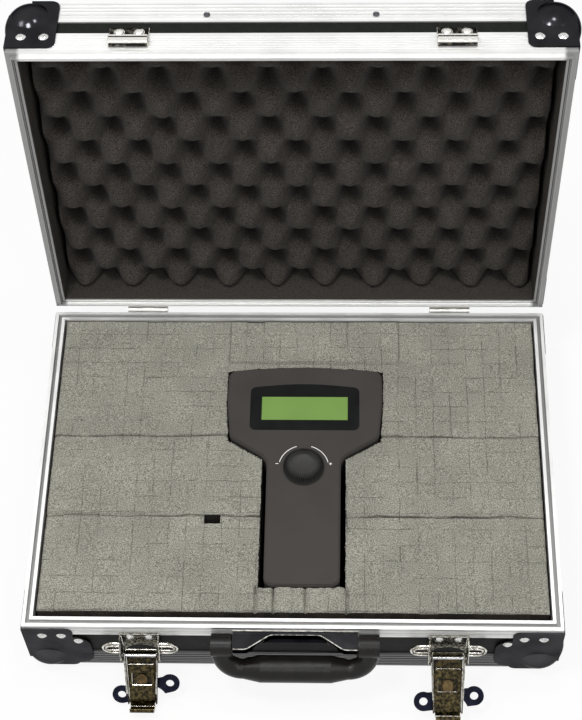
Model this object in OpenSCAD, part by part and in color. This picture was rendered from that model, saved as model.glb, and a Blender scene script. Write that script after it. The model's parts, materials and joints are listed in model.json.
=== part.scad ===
// Aluminium-edged instrument case with plucked foam and a handheld lighting-line tester.
// Units are millimetres. Z is up, X runs along the front, Y runs from the front to the hinges.
// The shape rests as it is used: lid open on its stops, latches hanging, tester in its pocket.

/* [Case] */
// Outside width of the case
case_w = 440; // [400:5:520]
// Outside depth of the case, front to rear
case_d = 309; // [290:1:380]
// Height of the base, from its underside to its rim
base_h = 74.5; // [72:0.5:100]
// Height of the lid, from its rim to its top
lid_h = 57; // [54:0.5:80]
// Angle of the lid when it rests open on its stops
lid_open = 94.4; // [90:0.1:105]
// Thickness of the laminated panels
panel_t = 6; // [4:0.5:7]
// Thickness of the aluminium and steel skins that cover the panels
skin_t = 1.2; // [1:0.1:1.5]
// Distance from the front face of the case back to the origin
front_y = 172.5; // [150:0.5:200]

/* [Extrusions] */
// Width of the rim extrusion, seen from above
rim_w = 8.6; // [8.4:0.1:12]
// Height of the outer band of the base rim
base_rim_h = 16; // [12:0.5:18]
// Height of the outer band of the lid rim
lid_rim_h = 22; // [18:0.5:25]
// Height of the inner band of both rims
inner_band_h = 12; // [8:0.5:14]
// Height of the visible leg of the bottom edge angle
base_edge_h = 24.6; // [18:0.2:28]
// Height of the visible leg of the lid edge angle
lid_edge_h = 22; // [16:0.5:23]
// Width of one shallow groove along an extrusion
rib_w = 1.2; // [0.8:0.1:1.6]
// Depth of the grooves along an extrusion
rib_deep = 0.5; // [0.3:0.1:0.7]
// Width of the tongue that seals the lid
tongue_w = 1.4; // [1:0.1:1.8]
// Height of the tongue that seals the lid
tongue_h = 2.2; // [1.5:0.1:2.4]

/* [Ball corners] */
// Radius of the ball that bulges out of each corner
ball_r = 22; // [20:0.5:23]
// Distance of the ball's centre from each outside face
ball_in = 15.5; // [14:0.5:16]
// Length of a leg of the lid corners
lid_corner = 38; // [38:1:46]
// Height of the lid's corner plates
lid_corner_h = 52; // [48:1:54]
// Width of the base corners
base_corner = 40; // [36:1:48]
// Height of the base corners
base_corner_h = 70; // [60:1:70]
// Reach of the lower foot of the base corners
corner_foot = 53; // [50:1:60]
// Radius of the rivet heads
rivet_r = 3.9; // [3:0.1:4.5]
// Height of the rivet heads
rivet_h = 1.7; // [1:0.1:2]

/* [Hinges] */
// Distance of each hinge from the middle of the case
hinge_x = 136.5; // [90:0.5:150]
// Width of a hinge
hinge_w = 36; // [28:1:50]
// Radius of the hinge knuckles
knuckle_r = 3; // [2.5:0.1:3.2]
// Distance of the hinge axis behind the rear face
hinge_back = 3.5; // [3.4:0.1:5]
// Drop of the hinge axis below the rim
hinge_drop = 1.4; // [0.5:0.1:2]
// Height of a hinge leaf
leaf_h = 24; // [18:1:28]
// Radius of the hinge pins
hinge_pin_r = 1.5; // [1.2:0.1:1.7]

/* [Latches] */
// Distance of each latch from the middle of the case
latch_x = 126.5; // [100:0.5:150]
// Shift of both latches to the right
latch_shift = 1.5; // [-3:0.5:3]
// Width of a latch bracket
latch_w = 33; // [30:0.5:40]
// Height of the latch pivot above the underside of the case
latch_z = 40; // [38:0.5:44]
// Distance of the latch pivot in front of the case
latch_out = 10; // [9.5:0.5:12]
// Angle from closed to hanging of the left latch
left_hang = 142; // [120:1:150]
// Angle from closed to hanging of the right latch
right_hang = 126; // [120:1:150]
// Thickness of the latch sheet
sheet_t = 1.2; // [1:0.1:1.5]
// Travel of the hook when the key makes half a turn
hook_throw = 6; // [4:0.5:6]
// Overall width of the butterfly key
key_w = 58; // [52:1:60]
// Radius of the ears of the butterfly key
ear_r = 8; // [6:0.5:9]
// Thickness of the butterfly key
key_t = 1.6; // [1.2:0.1:2]
// Turn of the left butterfly key, in degrees
left_turn = 15; // [0:1:20]
// Turn of the right butterfly key, in degrees
right_turn = 7; // [0:1:20]
// Diameter of the latch spring wire
spring_d = 2; // [1.6:0.1:2.4]
// Width of the keepers on the lid
keeper_w = 31; // [28:1:36]
// Height of the lip of the keeper above the lid rim
keeper_lip = 14; // [12:0.5:16]

/* [Handle] */
// Width of the steel handle bracket
bracket_w = 103; // [90:1:130]
// Shift of the handle to the right
handle_x = 3; // [-5:1:5]
// Height of the handle pivot above the underside of the case
handle_z = 62; // [58:0.5:66]
// Distance of the handle pivot in front of the case
handle_out = 10; // [9:0.5:12]
// Radius of the grip bar
grip_r = 11.3; // [9:0.1:12]
// Radius of the grip's arms
arm_r = 8.3; // [7:0.1:9]
// Distance from the pivot to the middle of the grip bar
grip_reach = 25; // [24:0.5:32]
// Angle that the grip hangs below straight out
grip_hang = 65; // [50:1:70]

/* [Foam] */
// Gap between the pluck foam and the side walls
foam_gap = 3; // [1:0.5:5]
// Gap between the pluck foam and the front wall
foam_front_gap = 8.5; // [4:0.5:12]
// Depth of the foam surface below the rim
foam_down = 2.5; // [2:0.5:6]
// Thickness of the pad under the pluck foam
pad_t = 12; // [8:1:14]
// Size of one foam cube
cube_w = 15; // [12:1:20]
// Thickness of the solid back of the lid foam
lid_foam_back = 14; // [10:1:18]
// Clearance of the foam peaks above the closed rim
peak_clear = 12; // [11:0.5:16]
// Spacing of the foam peaks along the case
peak_x = 43; // [36:1:50]
// Spacing of the rows of foam peaks
peak_y = 27.3; // [24:0.1:32]
// Thickness of the cloth lining in the lid
lining_t = 1; // [0.6:0.1:1.5]

/* [Tester] */
// Width of the tester's head
head_w = 136; // [124:1:140]
// Length of the tester
tester_len = 214; // [200:1:220]
// Width of the tester's neck at its top
neck_w = 63.5; // [58:0.5:68]
// Width of the tester's neck at its end
neck_end_w = 63; // [56:0.5:66]
// Thickness of the tester's head
tester_t = 40; // [34:1:42]
// Height of the tester's face above the foam surface
tester_proud = 4; // [2:0.5:6]
// Distance from the front face to the tester's end
tester_y = 37; // [34:1:38]
// Offset of the tester to the right of the middle
tester_x = 7.5; // [0:0.5:12]
// Free space in the foam on each side of the tester's neck
pocket_side = 4.5; // [4.4:0.1:7]
// Wall of the tester's shells
shell_t = 2.4; // [2:0.1:3]
// Width of the display window
lcd_w = 77; // [70:1:84]
// Height of the display window
lcd_h = 25.6; // [20:0.2:28]
// Diameter of the knob
knob_d = 36; // [30:1:38]
// Height of the knob
knob_h = 8; // [6:0.5:8]
// Radius of the knob's shaft
shaft_r = 3; // [2:0.5:4]

/* [Hidden] */
$fn = 48;
hull_fn = 32;
eps = 0.01;
touch_gap = 0.3;        // free space between pieces of different bodies
run_fit = 0.05;         // radial clearance of a shaft in its bore
seal_gap = 0.2;         // closed lid's rim above the case's rim
seam = 0.1;             // hairline joint between neighbouring panels and mitres
foot_flat = 0.3;                                // flat under each ball corner
stand = ball_r - ball_in - foot_flat;           // ball corners lift the case by this much
foot_h = 54;                                    // height of the lobe beside a base corner
hinge_y = case_d + hinge_back;
hinge_z = base_h - hinge_drop;
panel_in = skin_t;                              // outer faces of the panels
wall_in = panel_in + panel_t;                   // inner faces of the panels
groove_w = tongue_w + 1.8;                      // the tongue swings in on a short arc
groove_h = tongue_h + 0.8;
rim_top_t = groove_h + 1;
corner_trim = 16;                               // clipped corners of the panels
corner_round = 7;
extrusion_lap = 9;                              // cover of the corners over the extrusions
edge_w = 24;                                    // hidden leg of the edge angles
foam_top = base_h - foam_down;
foam_bottom = wall_in + pad_t;
rivet_inset = 5.5;

// Body frames
module place() { translate([0, -front_y, stand]) children(); }

module on_lid() {
    place()
        translate([0, hinge_y, hinge_z])
            rotate([-lid_open, 0, 0])
                translate([0, -hinge_y, -hinge_z])
                    children();
}

// Turns the closed lid's outline over, so that shared shapes are drawn once from the base up
module from_lid_top() {
    translate([0, 0, base_h + lid_h])
        mirror([0, 0, 1])
            children();
}

// Arc of a rounded outline: corner p between points a and b, with radius r
function unit(v) = v / norm(v);
function fillet(a, p, b, r, n = 6) =
    let (
        u = unit(a - p),
        v = unit(b - p),
        half = acos(u * v) / 2,
        away = r / tan(half),
        c = p + unit(u + v) * r / sin(half),
        s = p + u * away - c,
        e = p + v * away - c,
        turn = (s[0] * e[1] - s[1] * e[0]) > 0 ? 1 : -1,
        sweep = 180 - 2 * half
    )
    [for (i = [0:n])
        let (t = turn * sweep * i / n)
        c + [s[0] * cos(t) - s[1] * sin(t), s[0] * sin(t) + s[1] * cos(t)]];
function rounded(pts, radii, n = 6) =
    let (k = len(pts))
    [for (i = [0:k - 1])
        each (radii[i] > 0
            ? fillet(pts[(i + k - 1) % k], pts[i], pts[(i + 1) % k], radii[i], n)
            : [pts[i]])];

// Outline drawn in Y (across) and Z (up), extruded along X from 0
module along_x(length) {
    rotate([90, 0, 90])
        linear_extrude(length)
            children();
}

// One side of a mitred ring: depth of the mitre and length of the side
module mitred(length, depth) {
    intersection() {
        along_x(length) children();
        translate([0, 0, -100])
            linear_extrude(400)
                polygon([[seam, 0], [length - seam, 0], [length - depth - seam, depth],
                    [depth + seam, depth]]);
    }
}

// Four sides round the case; child 0 is as long as the front, child 1 as the side
module four_sides() {
    translate([-case_w / 2, 0, 0]) children(0);
    translate([case_w / 2, case_d, 0]) rotate(180) children(0);
    translate([-case_w / 2, case_d, 0]) rotate(-90) children(1);
    translate([case_w / 2, 0, 0]) rotate(90) children(1);
}

// Puts a corner piece, drawn for the front left corner, at all four
module four_corners() {
    for (side = [0, 1], end = [0, 1])
        translate([0, end * case_d, 0])
            mirror([0, end, 0])
                mirror([side, 0, 0])
                    translate([-case_w / 2, 0, 0])
                        children();
}

module groove(y, z, h) {
    translate([y, z]) square([rib_deep + eps, h]);
}

// Rim cross-section with its rim at z = 0 and its bands hanging below
module rim_section(band) {
    difference() {
        union() {
            translate([0, -band]) square([skin_t, band]);
            translate([0, -rim_top_t]) square([rim_w, rim_top_t]);
            translate([rim_w - skin_t, -inner_band_h]) square([skin_t, inner_band_h]);
        }
        for (z = [rib_w * 4 : rib_w * 2.2 : band - rib_w * 1.5])
            groove(-eps, -z, rib_w);
    }
}

module base_rim_section() {
    difference() {
        translate([0, base_h]) rim_section(base_rim_h);
        translate([(rim_w - groove_w) / 2, base_h - groove_h])
            square([groove_w, groove_h + eps]);
    }
}

module lid_rim_section() {
    translate([0, base_h + seal_gap]) mirror([0, 1]) rim_section(lid_rim_h);
    translate([(rim_w - tongue_w) / 2, base_h - tongue_h])
        square([tongue_w, tongue_h + seal_gap + eps]);
}

// Edge angle with its outer corner at the origin
module edge_section(leg) {
    difference() {
        square([edge_w, leg]);
        translate([skin_t, skin_t]) square([edge_w, leg]);
        for (z = [rib_w * 2.5 : rib_w * 3.2 : leg - rib_w * 2])
            groove(-eps, z, rib_w);
    }
}

module edge_angles(leg, inset) {
    four_sides() {
        translate([inset, 0, 0]) along_x(case_w - 2 * inset) edge_section(leg);
        translate([inset, 0, 0]) along_x(case_d - 2 * inset) edge_section(leg);
    }
}

// Four walls of a box from z0 to z1, clipped where the ball corners sit
module walls(z0, z1) {
    inner_d = case_d - 2 * wall_in - 2 * seam;
    difference() {
        union() {
            for (y = [panel_in, case_d - wall_in])
                translate([-case_w / 2 + panel_in, y, z0])
                    cube([case_w - 2 * panel_in, panel_t, z1 - z0]);
            for (x = [-case_w / 2 + panel_in, case_w / 2 - wall_in])
                translate([x, wall_in + seam, z0])
                    cube([panel_t, inner_d, z1 - z0]);
        }
        four_corners() translate([-eps, -eps, -eps]) cube(corner_trim);
    }
}

module floor_panel() {
    translate([-case_w / 2 + wall_in, wall_in, panel_in])
        cube([case_w - 2 * wall_in, case_d - 2 * wall_in, panel_t]);
}

module base_bottom_panel() {
    color([0.05, 0.05, 0.055])
        place() floor_panel();
}

module base_wall_panels() {
    color([0.05, 0.05, 0.055])
        place() walls(panel_in, base_h - rim_top_t);
}

module base_rim_extrusions() {
    color([0.86, 0.86, 0.87])
        place()
            four_sides() {
                mitred(case_w, rim_w) base_rim_section();
                mitred(case_d, rim_w) base_rim_section();
            }
}

module base_edge_extrusions() {
    color([0.6, 0.6, 0.61])
        place() edge_angles(base_edge_h, base_corner - extrusion_lap);
}

module lid_top_panel() {
    color([0.05, 0.05, 0.055])
        on_lid() from_lid_top() floor_panel();
}

module lid_wall_panels() {
    color([0.05, 0.05, 0.055])
        on_lid() from_lid_top() walls(panel_in, lid_h - rim_top_t - seal_gap);
}

module lid_rim_extrusions() {
    color([0.86, 0.86, 0.87])
        on_lid()
            four_sides() {
                mitred(case_w, rim_w) lid_rim_section();
                mitred(case_d, rim_w) lid_rim_section();
            }
}

module lid_edge_extrusions() {
    color([0.86, 0.86, 0.87])
        on_lid() from_lid_top() edge_angles(lid_edge_h, lid_corner - extrusion_lap);
}

// Outline of one face of a corner: across and up from the case's own corner
module corner_face(across, up, foot) {
    square_pts = [[-skin_t, -skin_t], [across, -skin_t], [across, up], [-skin_t, up]];
    foot_pts = [[-skin_t, 4], [foot, 4], [foot, foot_h], [-skin_t, foot_h]];
    polygon(rounded(square_pts, [0, corner_round, corner_round, 0]));
    if (foot > across)
        polygon(rounded(foot_pts, [0, corner_round * 2, corner_round * 2, 0]));
}

// The three flat faces of a corner, less the sharp tip that the ball replaces
module corner_faces(across, up, foot) {
    big = up + foot;
    difference() {
        union() {
            intersection() {
                translate([-skin_t, -skin_t, -skin_t]) cube([big, skin_t, big]);
                rotate([90, 0, 0])
                    linear_extrude(4, center = true) corner_face(across, up, foot);
            }
            intersection() {
                translate([-skin_t, -skin_t, -skin_t]) cube([skin_t, big, big]);
                rotate([90, 0, 90])
                    linear_extrude(4, center = true) corner_face(across, up, across);
            }
            intersection() {
                translate([-skin_t, -skin_t, -skin_t]) cube([big, big, skin_t]);
                linear_extrude(4, center = true) corner_face(across, across, across);
            }
        }
        translate([-skin_t * 2, -skin_t * 2, -skin_t * 2]) cube(ball_in + skin_t * 2);
    }
}

// Pressed corner for the front left, bottom corner of a box: three faces and a hollow ball
module ball_corner(across, up, foot) {
    difference() {
        union() {
            corner_faces(across, up, foot);
            difference() {
                translate([ball_in, ball_in, ball_in]) sphere(ball_r);
                difference() {
                    cube(ball_r * 3);
                    translate([-eps, -eps, -eps]) cube(ball_in);
                }
            }
        }
        translate([ball_in, ball_in, ball_in]) sphere(ball_r - skin_t);
    }
}

module base_ball_corners() {
    color([0.22, 0.22, 0.23])
        place()
            four_corners()
                difference() {
                    ball_corner(base_corner, base_corner_h, corner_foot);
                    translate([0, 0, -stand - ball_r]) cube(ball_r * 2, center = true);
                }
}

module lid_ball_corners() {
    color([0.22, 0.22, 0.23])
        on_lid() from_lid_top()
            four_corners() ball_corner(lid_corner, lid_corner_h, lid_corner);
}

// Domed rivet head standing on a face that looks towards -Y
module rivet_head() {
    ball = (rivet_r * rivet_r + rivet_h * rivet_h) / (2 * rivet_h);
    rotate([90, 0, 0])
        intersection() {
            translate([0, 0, rivet_h - ball]) sphere(ball);
            cylinder(r = rivet_r, h = rivet_h);
        }
}

// Two heads on the front face and two on the side face of a corner
module corner_rivets(across, up, first) {
    for (x = [first, across - rivet_inset - rivet_r]) {
        translate([x, -skin_t, up - rivet_inset * 2.2]) rivet_head();
        translate([-skin_t, x, up - rivet_inset * 2.2]) rotate(-90) rivet_head();
    }
}

module base_rivets() {
    color([0.75, 0.75, 0.76])
        place()
            four_corners() {
                corner_rivets(base_corner, base_corner_h, rivet_inset * 2.7);
                translate([corner_foot - rivet_inset - rivet_r, -skin_t, foot_h - 6])
                    rivet_head();
            }
}

module lid_rivets() {
    color([0.85, 0.85, 0.86])
        on_lid() from_lid_top()
            four_corners() {
                corner_rivets(lid_corner, lid_corner_h, rivet_inset * 2);
                for (spot = [[lid_corner - rivet_inset, 8], [8, lid_corner - rivet_inset]])
                    translate([spot[0], spot[1], -skin_t])
                        rotate([90, 0, 0]) rivet_head();
            }
}

// Flat screw heads along the edge angle of the lid
module lid_screws() {
    color([0.25, 0.25, 0.26])
        on_lid() from_lid_top()
            for (x = [-case_w * 0.15, case_w * 0.15])
                translate([x, 0, lid_edge_h * 0.65])
                    rotate([90, 0, 0])
                        difference() {
                            cylinder(r = 2.6, h = 0.8);
                            translate([-0.4, -3, 0.4]) cube([0.8, 6, 1]);
                            translate([-3, -0.4, 0.4]) cube([6, 0.8, 1]);
                        }
}

// Hinges: the axis runs along X behind the rear face
module hinge_places() {
    for (side = [-1, 1])
        translate([side * hinge_x, hinge_y, hinge_z])
            children();
}

// A leaf with its knuckles; up = 1 for the lid, -1 for the base
module hinge_leaf(up, knuckles) {
    part = hinge_w / 3;
    gap = touch_gap / 2;
    difference() {
        union() {
            translate([-hinge_w / 2, -hinge_back, up > 0 ? 0 : -leaf_h])
                cube([hinge_w, skin_t, leaf_h]);
            for (k = knuckles)
                translate([k * part - part / 2 + gap, 0, 0])
                    rotate([0, 90, 0]) cylinder(r = knuckle_r, h = part - 2 * gap);
        }
        for (k = [-1, 0, 1])
            if (len(search(k, knuckles)) == 0)
                translate([k * part - part / 2 - gap, 0, 0])
                    rotate([0, 90, 0])
                        cylinder(r = knuckle_r + touch_gap, h = part + 2 * gap);
        translate([-hinge_w, 0, 0])
            rotate([0, 90, 0]) cylinder(r = hinge_pin_r + run_fit, h = hinge_w * 2);
    }
}

module hinge_base_leaves() {
    color([0.7, 0.69, 0.66])
        place() hinge_places() hinge_leaf(-1, [-1, 1]);
}

module hinge_lid_leaves() {
    color([0.7, 0.69, 0.66])
        on_lid() hinge_places() hinge_leaf(1, [0]);
}

module hinge_pins() {
    color([0.6, 0.6, 0.6])
        place() hinge_places()
            rotate([0, 90, 0]) cylinder(r = hinge_pin_r, h = hinge_w, center = true);
}

function latch_at(side) = side * latch_x + latch_shift;

// Keeper: riveted plate whose lower edge folds out and up into a lip
keeper_t = 1.4;
keeper_out = 6.4;
keeper_low = 7;
keeper_up = 27;
module keeper() {
    translate([-keeper_w / 2, -keeper_out, base_h])
        along_x(keeper_w)
            difference() {
                translate([0, keeper_low]) square([keeper_out, keeper_up - keeper_low]);
                translate([-eps, keeper_lip]) square([keeper_out - keeper_t + eps, keeper_up]);
                translate([keeper_t, keeper_low + keeper_t])
                    square([keeper_out - 2 * keeper_t, keeper_up]);
            }
    for (x = [-keeper_w / 4, keeper_w / 4])
        translate([x, -keeper_t, base_h + keeper_up - rivet_inset]) rivet_head();
}

module keepers() {
    color([0.2, 0.2, 0.22])
        on_lid()
            for (side = [-1, 1])
                translate([latch_at(side), 0, 0]) keeper();
}

// Latch: fixed bracket, spring loops, swinging arm, sliding hook and folding butterfly key
cheek_t = 1.5;
cheek_r = 5.5;
rod_r = 1.5;
arm_front = 4;                                   // arm's web in front of the pivot
arm_depth = 8;                                   // depth of the arm's channel
arm_w = latch_w - 2 * cheek_t - 2 * touch_gap - 1;
arm_end_w = arm_w - 4;
arm_len = base_h + keeper_lip - latch_z - 2;
hook_gap = 0.2;
hook_w = arm_end_w - 2 * sheet_t - 1.2;
hook_low = 9;
hook_seat = base_h + keeper_lip + touch_gap - latch_z;   // underside of the claw, locked
stud_z = 26;                                     // key's centre above the pivot
stud_r = 4;
cam_r = 4.5;
cam_play = 0.75;
key_out = 3;                                     // key's pin in front of the arm
key_pin_r = 1;
lug_x = 5;
lug_t = 2;
bracket_low = 30;
bracket_top = 63;

module at_latches() {
    place()
        for (side = [-1, 1])
            translate([latch_at(side), 0, 0])
                children();
}

module latch_bracket() {
    difference() {
        union() {
            translate([-latch_w / 2, -cheek_t, bracket_low])
                cube([latch_w, cheek_t, bracket_top - bracket_low]);
            for (x = [-latch_w / 2, latch_w / 2 - cheek_t])
                translate([x, 0, 0])
                    along_x(cheek_t)
                        union() {
                            translate([-latch_out, latch_z]) circle(cheek_r);
                            polygon([[-latch_out + 4.3, latch_z - 3.3], [0, latch_z + 4],
                                [0, latch_z + 20], [-9, latch_z + 20],
                                [-latch_out - cheek_r, latch_z]]);
                        }
        }
        translate([-latch_w, -latch_out, latch_z])
            rotate([0, 90, 0]) cylinder(r = rod_r, h = latch_w * 2);
        translate([0, cheek_t, bracket_low - 1.5])
            rotate([90, 0, 0]) cylinder(r = 14, h = cheek_t * 3);
    }
}

module latch_brackets() {
    color([0.62, 0.6, 0.52])
        at_latches() latch_bracket();
}

module latch_rivets() {
    color([0.8, 0.78, 0.7])
        at_latches()
            for (x = [-latch_w / 4, latch_w / 4])
                translate([x, -cheek_t, bracket_top - rivet_inset]) rivet_head();
}

module latch_pivot_rods() {
    color([0.75, 0.74, 0.7])
        at_latches()
            translate([0, -latch_out, latch_z])
                rotate([0, 90, 0]) cylinder(r = rod_r, h = latch_w, center = true);
}

// One spring: two hairpin turns that stand out beside the bracket
spring_out = 14;
spring_y = 7;
module hairpin(height, reach) {
    wire_r = spring_d / 2;
    for (z = [-height / 2, height / 2])
        translate([0, 0, z]) rotate([0, 90, 0]) cylinder(r = wire_r, h = reach - height / 2);
    translate([reach - height / 2, 0, 0])
        rotate([90, 90, 0])
            rotate_extrude(angle = 180)
                translate([height / 2, 0]) circle(wire_r);
}

module latch_springs() {
    color([0.78, 0.74, 0.62])
        at_latches()
            for (side = [0, 1])
                mirror([side, 0, 0])
                    translate([latch_w / 2, -spring_y, latch_z + 8]) {
                        hairpin(18, spring_out);
                        hairpin(8, spring_out - 2.5);
                    }
}

// Frames of the moving latch pieces: side -1 is the left latch
module at_arm(side) {
    hang = side < 0 ? left_hang : right_hang;
    place()
        translate([latch_at(side), -latch_out, latch_z])
            rotate([hang, 0, 0])
                children();
}

function turn_of(side) = side < 0 ? left_turn : right_turn;

module at_key(side) {
    at_arm(side)
        translate([0, -arm_front - key_out, stud_z])
            rotate([0, turn_of(side), 0])
                children();
}

// Arm: a channel open towards the case, tapering from its pivot to its end
module arm_outline(w0, w1) {
    polygon([[-w0 / 2, -arm_front], [w0 / 2, -arm_front], [w1 / 2, arm_len], [-w1 / 2, arm_len]]);
}

module latch_arm(side) {
    color([0.4, 0.38, 0.33])
        at_arm(side)
            difference() {
                translate([0, arm_depth - arm_front, 0])
                    rotate([90, 0, 0])
                        linear_extrude(arm_depth) arm_outline(arm_w, arm_end_w);
                translate([0, arm_depth - arm_front + eps, 0])
                    rotate([90, 0, 0])
                        linear_extrude(arm_depth - sheet_t + eps)
                            polygon([[-arm_w / 2 + sheet_t, -arm_front * 2],
                                [arm_w / 2 - sheet_t, -arm_front * 2],
                                [arm_end_w / 2 - sheet_t, arm_len + 1],
                                [-arm_end_w / 2 + sheet_t, arm_len + 1]]);
                translate([-latch_w / 2, 0, 0])
                    rotate([0, 90, 0]) cylinder(r = rod_r + run_fit, h = latch_w);
                translate([0, 0, stud_z])
                    rotate([90, 0, 0]) cylinder(r = stud_r + run_fit, h = latch_w);
                translate([-latch_w / 2, -arm_front + sheet_t + hook_gap * 2 + sheet_t * 2,
                    arm_len - 12])
                    rotate([0, 90, 0])
                        linear_extrude(latch_w)
                            polygon([[0, 0], [0, arm_depth], [-20, arm_depth], [-20, 0]]);
            }
}

module left_latch_arm() { latch_arm(-1); }
module right_latch_arm() { latch_arm(1); }

// Hook: a flat plate under the web with a claw at its end and a cross slot for the cam
module hook_plate(side) {
    y0 = -arm_front + sheet_t + hook_gap;
    claw_in = latch_out - keeper_t - 1.6;
    slot_w = 2 * cam_r + hook_throw + 1;
    slot_h = 2 * (cam_r + cam_play);
    color([0.66, 0.64, 0.56])
        at_arm(side)
            difference() {
                union() {
                    translate([-hook_w / 2, y0, hook_low])
                        cube([hook_w, sheet_t, hook_seat + sheet_t - hook_low]);
                    translate([-hook_w / 2, y0, hook_seat])
                        cube([hook_w, claw_in - y0, sheet_t]);
                    translate([-hook_w / 2, claw_in - sheet_t, hook_seat - 2])
                        cube([hook_w, sheet_t, 2 + sheet_t]);
                }
                translate([-slot_w / 2, y0 - 1, stud_z - hook_throw / 2 - slot_h / 2])
                    cube([slot_w, sheet_t + 2, slot_h]);
            }
}

module left_hook_plate() { hook_plate(-1); }
module right_hook_plate() { hook_plate(1); }

// Key stud: cam behind the arm, shank through it, flange and two drilled lugs in front
module key_lugs() {
    difference() {
        rotate([90, 0, 0])
            for (x = [-lug_x - lug_t, lug_x]) {
                translate([x, 0, arm_front + key_out])
                    rotate([0, 90, 0]) cylinder(r = 2, h = lug_t);
                translate([x, -2, arm_front + hook_gap + 0.4])
                    cube([lug_t, 4, key_out - hook_gap - 0.4]);
            }
        translate([-latch_w / 2, -arm_front - key_out, 0])
            rotate([0, 90, 0]) cylinder(r = key_pin_r, h = latch_w);
    }
}

module key_stud(side) {
    web_back = -arm_front + sheet_t;
    color([0.6, 0.5, 0.36])
        at_arm(side)
            translate([0, 0, stud_z]) {
                rotate([90, 0, 0]) {
                    translate([0, -hook_throw / 2, -web_back - sheet_t - hook_gap])
                        cylinder(r = cam_r, h = sheet_t);
                    translate([0, 0, -web_back - hook_gap])
                        cylinder(r = stud_r, h = sheet_t + 2 * hook_gap);
                    translate([0, 0, arm_front + hook_gap])
                        cylinder(r = lug_x + lug_t + 0.5, h = 0.8);
                }
                rotate([0, turn_of(side), 0]) key_lugs();
            }
}

module left_key_stud() { key_stud(-1); }
module right_key_stud() { key_stud(1); }

module key_pin(side) {
    color([0.7, 0.68, 0.6])
        at_arm(side)
            translate([0, -arm_front - key_out, stud_z])
                rotate([0, 90 + turn_of(side), 0])
                    cylinder(r = key_pin_r, h = 2 * (lug_x + lug_t), center = true);
}

module left_key_pin() { key_pin(-1); }
module right_key_pin() { key_pin(1); }

// Butterfly: barrel on the pin, a web and two drilled ears
module butterfly_key(side) {
    ear_x = key_w / 2 - ear_r;
    ear_v = ear_r + 1.5;
    barrel_w = 2 * (lug_x - touch_gap);
    color([0.16, 0.17, 0.24])
        at_key(side)
            difference() {
                union() {
                    rotate([0, 90, 0]) cylinder(r = 2, h = barrel_w, center = true);
                    translate([0, key_t / 2, 0])
                        rotate([90, 0, 0])
                            linear_extrude(key_t)
                                difference() {
                                    union() {
                                        for (x = [-ear_x, ear_x])
                                            translate([x, ear_v]) circle(ear_r);
                                        polygon([[-ear_x, 2.6], [ear_x, 2.6],
                                            [ear_x, ear_v + ear_r], [-ear_x, ear_v + ear_r]]);
                                        translate([-barrel_w / 2, 0]) square([barrel_w, 4]);
                                    }
                                    for (x = [-ear_x, ear_x])
                                        translate([x, ear_v]) circle(3.4);
                                    translate([0, ear_v + ear_r + 4])
                                        circle(ear_x - ear_r + 2);
                                }
                }
                rotate([0, 90, 0]) cylinder(r = key_pin_r + run_fit, h = key_w, center = true);
            }
}

module left_butterfly_key() { butterfly_key(-1); }
module right_butterfly_key() { butterfly_key(1); }

// Handle: pressed bracket with deep ends, pivot pins and a moulded grip
bracket_top_z = 69;
bracket_deep = 9;
bracket_out = handle_out + 6.5;
bracket_flat = 20;
bracket_end = 12;
grip_taper = 14;

module at_handle() {
    place() translate([handle_x, 0, 0]) children();
}

module bracket_plan(inset) {
    w = bracket_w / 2 - inset;
    d = bracket_out - inset;
    polygon(rounded([[-w, 0], [w, 0], [w, -d], [w - bracket_end + inset, -d],
        [bracket_flat, -3.5 + inset], [-bracket_flat, -3.5 + inset],
        [-w + bracket_end - inset, -d], [-w, -d]],
        [0, 0, 1.5, 10, 10, 10, 10, 1.5], 4));
}

module handle_bracket() {
    low = bracket_top_z - bracket_deep - 6;
    color([0.24, 0.24, 0.26])
        at_handle()
            difference() {
                union() {
                    translate([0, 0, bracket_top_z - bracket_deep])
                        linear_extrude(bracket_deep) bracket_plan(0);
                    for (x = [-bracket_w / 2, bracket_w / 2 - sheet_t])
                        translate([x, 0, 0])
                            along_x(sheet_t)
                                union() {
                                    translate([-handle_out, handle_z]) circle(6.5);
                                    translate([-handle_out, low]) square([handle_out, 12]);
                                }
                    translate([-bracket_w / 2, -sheet_t, low - 6])
                        cube([bracket_w, sheet_t, bracket_deep + 8]);
                }
                difference() {
                    translate([0, 0, bracket_top_z - bracket_deep - 1])
                        linear_extrude(bracket_deep + 1 - sheet_t) bracket_plan(sheet_t);
                    translate([-bracket_w, -sheet_t, 0]) cube([bracket_w * 2, 10, 100]);
                }
                translate([-bracket_w, -handle_out, handle_z])
                    rotate([0, 90, 0]) cylinder(r = 3, h = bracket_w * 2);
            }
}

module handle_pins() {
    color([0.5, 0.5, 0.52])
        at_handle()
            for (side = [0, 1])
                mirror([side, 0, 0])
                    translate([bracket_w / 2 - sheet_t - 1.5, -handle_out, handle_z])
                        rotate([0, 90, 0]) {
                            cylinder(r = 3, h = 16);
                            cylinder(r = 3.8, h = 1.5);
                        }
}

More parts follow.
